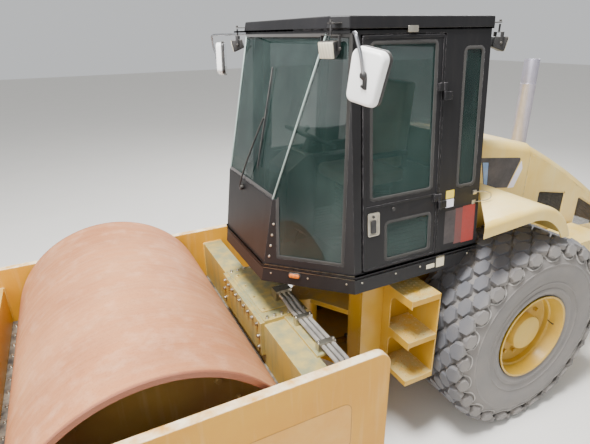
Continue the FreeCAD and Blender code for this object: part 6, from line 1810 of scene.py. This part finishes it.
    def levers(self) -> None:
        """The travel lever on the right console box and the pedals."""
        form, metal = Form(), Form()
        form.box((-0.30, -0.46, 1.607), (0.16, -0.33, 2.060), 14 * MM)
        finished(form, "side_console", "rear", GREY_PLASTIC)
        metal.add(swept([(0.02, -0.395, 2.055), (0.025, -0.395, 2.130), (0.045, -0.390, 2.190)], 7 * MM))
        finished(metal, "travel_lever", "rear", CHROME)
        grip = Form()
        grip.add(lathe([(0.0, 0.115), (0.016, 0.110), (0.023, 0.085), (0.021, 0.040), (0.014, 0.010), (0.009, 0.0)], 28),
                 aim((0.043, -0.391, 2.180), (0.25, 0.05, 1.0)))
        grip.box((-0.02, -0.420, 2.056), (0.06, -0.370, 2.068), 5 * MM)
        finished(grip, "lever_grip", "rear", CAB_PLASTIC)
        pedals = Form()
        for y in (-0.24, 0.22):
            pedals.add(block((0.085, 0.070, 0.010), 4 * MM), aim((0.56, y, 1.700), (-0.6, 0.0, 0.8)))
            pedals.add(bar(8 * MM, 0.090, 1 * MM, 12), aim((0.60, y, 1.625), (-0.35, 0.0, 0.9)))
        finished(pedals, "pedals", "rear", DARK_PAINT)

    def lining(self) -> None:
        """A ribbed floor mat and a padded head lining."""
        mat = Form()
        mat.box((-0.46, -0.66, 1.607), (0.40, 0.66, 1.613), 2 * MM)
        for step in range(26):
            y = -0.63 + 0.05 * step
            mat.box((-0.45, y - 6 * MM, 1.612), (0.39, y + 6 * MM, 1.616), 1 * MM)
        finished(mat, "floor_mat", "rear", SEAL_RUBBER)
        lining = Form()
        lining.box((-0.46, -0.60, 2.986), (0.44, 0.60, 3.004), 6 * MM)
        lining.box((-0.10, -0.07, 2.974), (0.10, 0.07, 2.988), 5 * MM)
        finished(lining, "head_lining", "rear", LINER)


@dataclass
class MirrorsAndLamps:
    """The mirrors on their arms and the four work lamps."""

    mirror_x: float = 0.6265
    mirror_y: float = 1.055
    mirror_z: float = 2.800
    width: float = 0.190
    height: float = 0.255
    depth: float = 0.075
    turn_out: float = 0.42
    lean: float = -0.20
    lamp_turn: float = 0.45
    lamp_places: Sequence[Point] = ((0.6075, 0.690, 2.914), (-0.6325, 0.650, 2.914))

    def build(self) -> None:
        """Makes the mirrors and the lamps."""
        self.mirrors()
        self.lamps()

    def mirrors(self) -> None:
        """White moulded housings, tapered to their feet, with black rims, glass and clamp balls."""
        shell, rim, glass, arm = Form(), Form(), Form(), Form()
        middle = Vector((self.mirror_x, self.mirror_y, self.mirror_z))
        w, h = self.width / 2, self.height / 2
        outline = [(-w * 0.86, -h, 0.035), (w * 0.86, -h, 0.035), (w, h, 0.045), (-w, h, 0.045)]
        facing = (Matrix.Translation(middle) @ Matrix.Rotation(self.turn_out, 4, "Z")
                  @ Matrix(((0, 0, 1, 0), (1, 0, 0, 0), (0, 1, 0, 0), (0, 0, 0, 1)))
                  @ Matrix.Rotation(self.lean, 4, "Z"))
        body = plate(outline, self.depth * 0.62, 0.0, 8)
        top = [vertex for vertex in body.verts if vertex.co.z > self.depth * 0.5]
        bmesh.ops.scale(body, vec=(0.90, 0.92, 1.0), verts=top)
        shell.add(soften(body, 12 * MM, 4, 0.8), facing @ Matrix.Translation((0, 0, -self.depth * 0.12)))
        rim.add(plate([(x * 1.0, y * 1.0, reach) for x, y, reach in outline], self.depth * 0.30, 5 * MM, 8),
                facing @ Matrix.Translation((0, 0, -self.depth * 0.42)))
        glass.add(plate([(x * 0.92, y * 0.94, reach * 0.9) for x, y, reach in outline], 1 * MM, 0.0, 8),
                  facing @ Matrix.Translation((0, 0, -self.depth * 0.42 - 1.2 * MM)))
        post = Vector((0.4575, 0.670, 2.9875))
        elbow = Vector((*(facing @ Vector((-0.030, 0.0, self.depth * 0.9)))[:2], 2.9875))
        ball = facing @ Vector((-0.004, 0.010, self.depth * 0.48))
        drop = facing @ Vector((-0.016, self.height * 0.36, self.depth * 0.85))
        arm.add(swept([post, post + (elbow - post) * 0.7, elbow, elbow + (drop - elbow) * 0.4, drop,
                       ball + (drop - ball) * 0.4, ball], 8.5 * MM))
        finished(shell.mirror(), "mirror_shells", "rear", WHITE_PLASTIC, replaces=("mirrors",))
        finished(rim.mirror(), "mirror_rims", "rear", CAB_PLASTIC)
        finished(glass.mirror(), "mirror_glasses", "rear", MIRROR_FACE)
        finished(arm.mirror(), "mirror_arms", "rear", TUBE_STEEL)
        clamp = Form()
        clamp.add(lathe([(0.0, 0.014), (0.012, 0.012), (0.020, 0.002), (0.021, -0.010), (0.014, -0.018)], 24), aim(ball, (1, 0, 0)))
        clamp.box(ball + Vector((-0.016, -0.022, -0.062)), ball + Vector((0.002, 0.022, 0.0)), 6 * MM)
        clamp.bolts([ball + Vector((0.002, 0.0, -0.046))], (1, 0, 0), 11 * MM, 6 * MM)
        finished(clamp.mirror(), "mirror_clamps", "rear", CAB_PLASTIC)

    def lamps(self) -> None:
        """Square lamps with ribbed lenses, hung in U brackets."""
        cases, lenses, yokes = Form(), Form(), Form()
        for (x, y, z), way in zip(self.lamp_places, (1.0, -1.0)):
            turn = (Matrix.Translation((x, y, z)) @ Matrix.Rotation(self.lamp_turn * way, 4, "Z")
                    @ Matrix.Rotation(math.radians(12.0 * way), 4, "Y"))
            body = block((0.080, 0.098, 0.088), 8 * MM, 3)
            back = [vertex for vertex in body.verts if vertex.co.x * way < -0.02]
            bmesh.ops.scale(body, vec=(1.0, 0.72, 0.72), verts=back)
            cases.add(body, turn)
            lenses.add(block((0.012, 0.090, 0.080), 4 * MM, 2), turn @ Matrix.Translation((way * 0.038, 0, 0)))
            swing = Matrix.Translation((x, y, z)) @ Matrix.Rotation(self.lamp_turn * way, 4, "Z")
            for sign in (1.0, -1.0):
                yokes.add(block((0.022, 0.003, 0.075), 1 * MM), swing @ Matrix.Translation((0, sign * 0.0535, 0.026)))
                yokes.add(hexagon_head(12 * MM, 6 * MM), swing @ aim((0.0, sign * 0.055, 0.0), (0, sign, 0)))
            yokes.add(block((0.022, 0.110, 0.003), 1 * MM), swing @ Matrix.Translation((0, 0, 0.063)))
            yokes.add(bar(6 * MM, 0.050, 1 * MM, 12), aim((x, y, z + 0.060), (0, 0, 1)))
            yokes.add(hexagon_head(14 * MM, 8 * MM), aim((x, y, z + 0.124), (0, 0, 1)))
            inward = Vector((-way * 0.184, -0.104, 0.0))
            span = block((inward.length * 0.86, 0.036, 0.006), 1.5 * MM)
            bmesh.ops.translate(span, verts=span.verts, vec=(inward.length * 0.40, 0.0, 0.0))
            yokes.add(span, Matrix.Translation((x, y, z + 0.119)) @ Matrix.Rotation(math.atan2(inward.y, inward.x), 4, "Z"))
        finished(cases.mirror(), "lamp_cases", "rear", CAB_PLASTIC, replaces=("work_lamps",))
        finished(lenses.mirror(), "lamp_lenses", "rear", CLEAR_LENS)
        finished(yokes.mirror(), "lamp_brackets", "rear", DARK_PAINT)


@dataclass
class Studio:
    """A pale floor, soft lights and the camera at the photograph's angle."""

    eye: Point = (1.8795, 2.843, 2.991)
    yaw: float = -116.09
    pitch: float = 22.507
    roll: float = -0.946
    lens: float = 27.84

    def camera(self) -> None:
        """Sets the camera where the photograph was taken from."""
        yaw, pitch, roll = (math.radians(angle) for angle in (self.yaw, self.pitch, self.roll))
        ahead = Vector((math.cos(yaw) * math.cos(pitch), math.sin(yaw) * math.cos(pitch), -math.sin(pitch)))
        right = Vector((math.sin(yaw), -math.cos(yaw), 0.0))
        up = right.cross(ahead)
        side = right * math.cos(roll) + up * math.sin(roll)
        top = up * math.cos(roll) - right * math.sin(roll)
        data = bpy.data.cameras.new("camera")
        data.sensor_fit = "HORIZONTAL"
        data.sensor_width = 36.0
        data.lens = self.lens
        data.clip_end = 200.0
        camera = bpy.data.objects.new("camera", data)
        turn = Matrix((side, top, -ahead)).transposed().to_4x4()
        camera.matrix_world = Matrix.Translation(Vector(self.eye)) @ turn
        bpy.context.scene.collection.objects.link(camera)
        bpy.context.scene.camera = camera

    def lights(self) -> None:
        """A large soft key from above, a fill from the left and a pale world."""
        for name, place, size, power in (("key", (2.5, 1.5, 9.0), 2.2, 2000.0), ("fill", (6.0, 3.5, 4.5), 6.0, 300.0),
                                         ("back", (-5.0, -5.0, 6.0), 4.0, 500.0)):
            data = bpy.data.lights.new(name, "AREA")
            data.shape = "DISK"
            data.size = size
            data.energy = power
            light = bpy.data.objects.new(name, data)
            aimed = (Vector((0.0, 0.0, 1.2)) - Vector(place)).to_track_quat("-Z", "Y").to_matrix().to_4x4()
            light.matrix_world = Matrix.Translation(Vector(place)) @ aimed
            bpy.context.scene.collection.objects.link(light)
        world = bpy.data.worlds.new("studio")
        world.use_nodes = True
        tree = world.node_tree
        tree.nodes.clear()
        sky = add_node(tree, "ShaderNodeBackground", None, {"Color": colour("F1F3F5"), "Strength": 0.75})
        add_node(tree, "ShaderNodeOutputWorld", None, {"Surface": sky.outputs[0]})
        bpy.context.scene.world = world

    def floor(self) -> None:
        """A wide pale floor under the machine."""
        mesh = bmesh.new()
        bmesh.ops.create_grid(mesh, x_segments=1, y_segments=1, size=40.0)
        data = bpy.data.meshes.new("floor")
        mesh.to_mesh(data)
        mesh.free()
        data.materials.append(Ground("studio_floor", "", "E2DFD9").material())
        piece = bpy.data.objects.new("floor", data)
        bpy.context.scene.collection.objects.link(piece)

    def build(self) -> None:
        """Sets up the whole studio."""
        self.camera()
        self.lights()
        self.floor()


def main() -> None:
    """Builds the studio and every sub-assembly."""
    logging.basicConfig(level=logging.INFO, format="%(message)s")
    Studio().build()
    shell = CabShell()
    for part in (Drum(), FrontFrame(), Hitch(), Wheel(Side.LEFT), Wheel(Side.RIGHT), Chassis(), Bonnet(), shell,
                 CabDoor(Side.LEFT, shell), CabDoor(Side.RIGHT, shell), CabInside(), MirrorsAndLamps()):
        part.build()


if __name__ == "__main__":
    main()
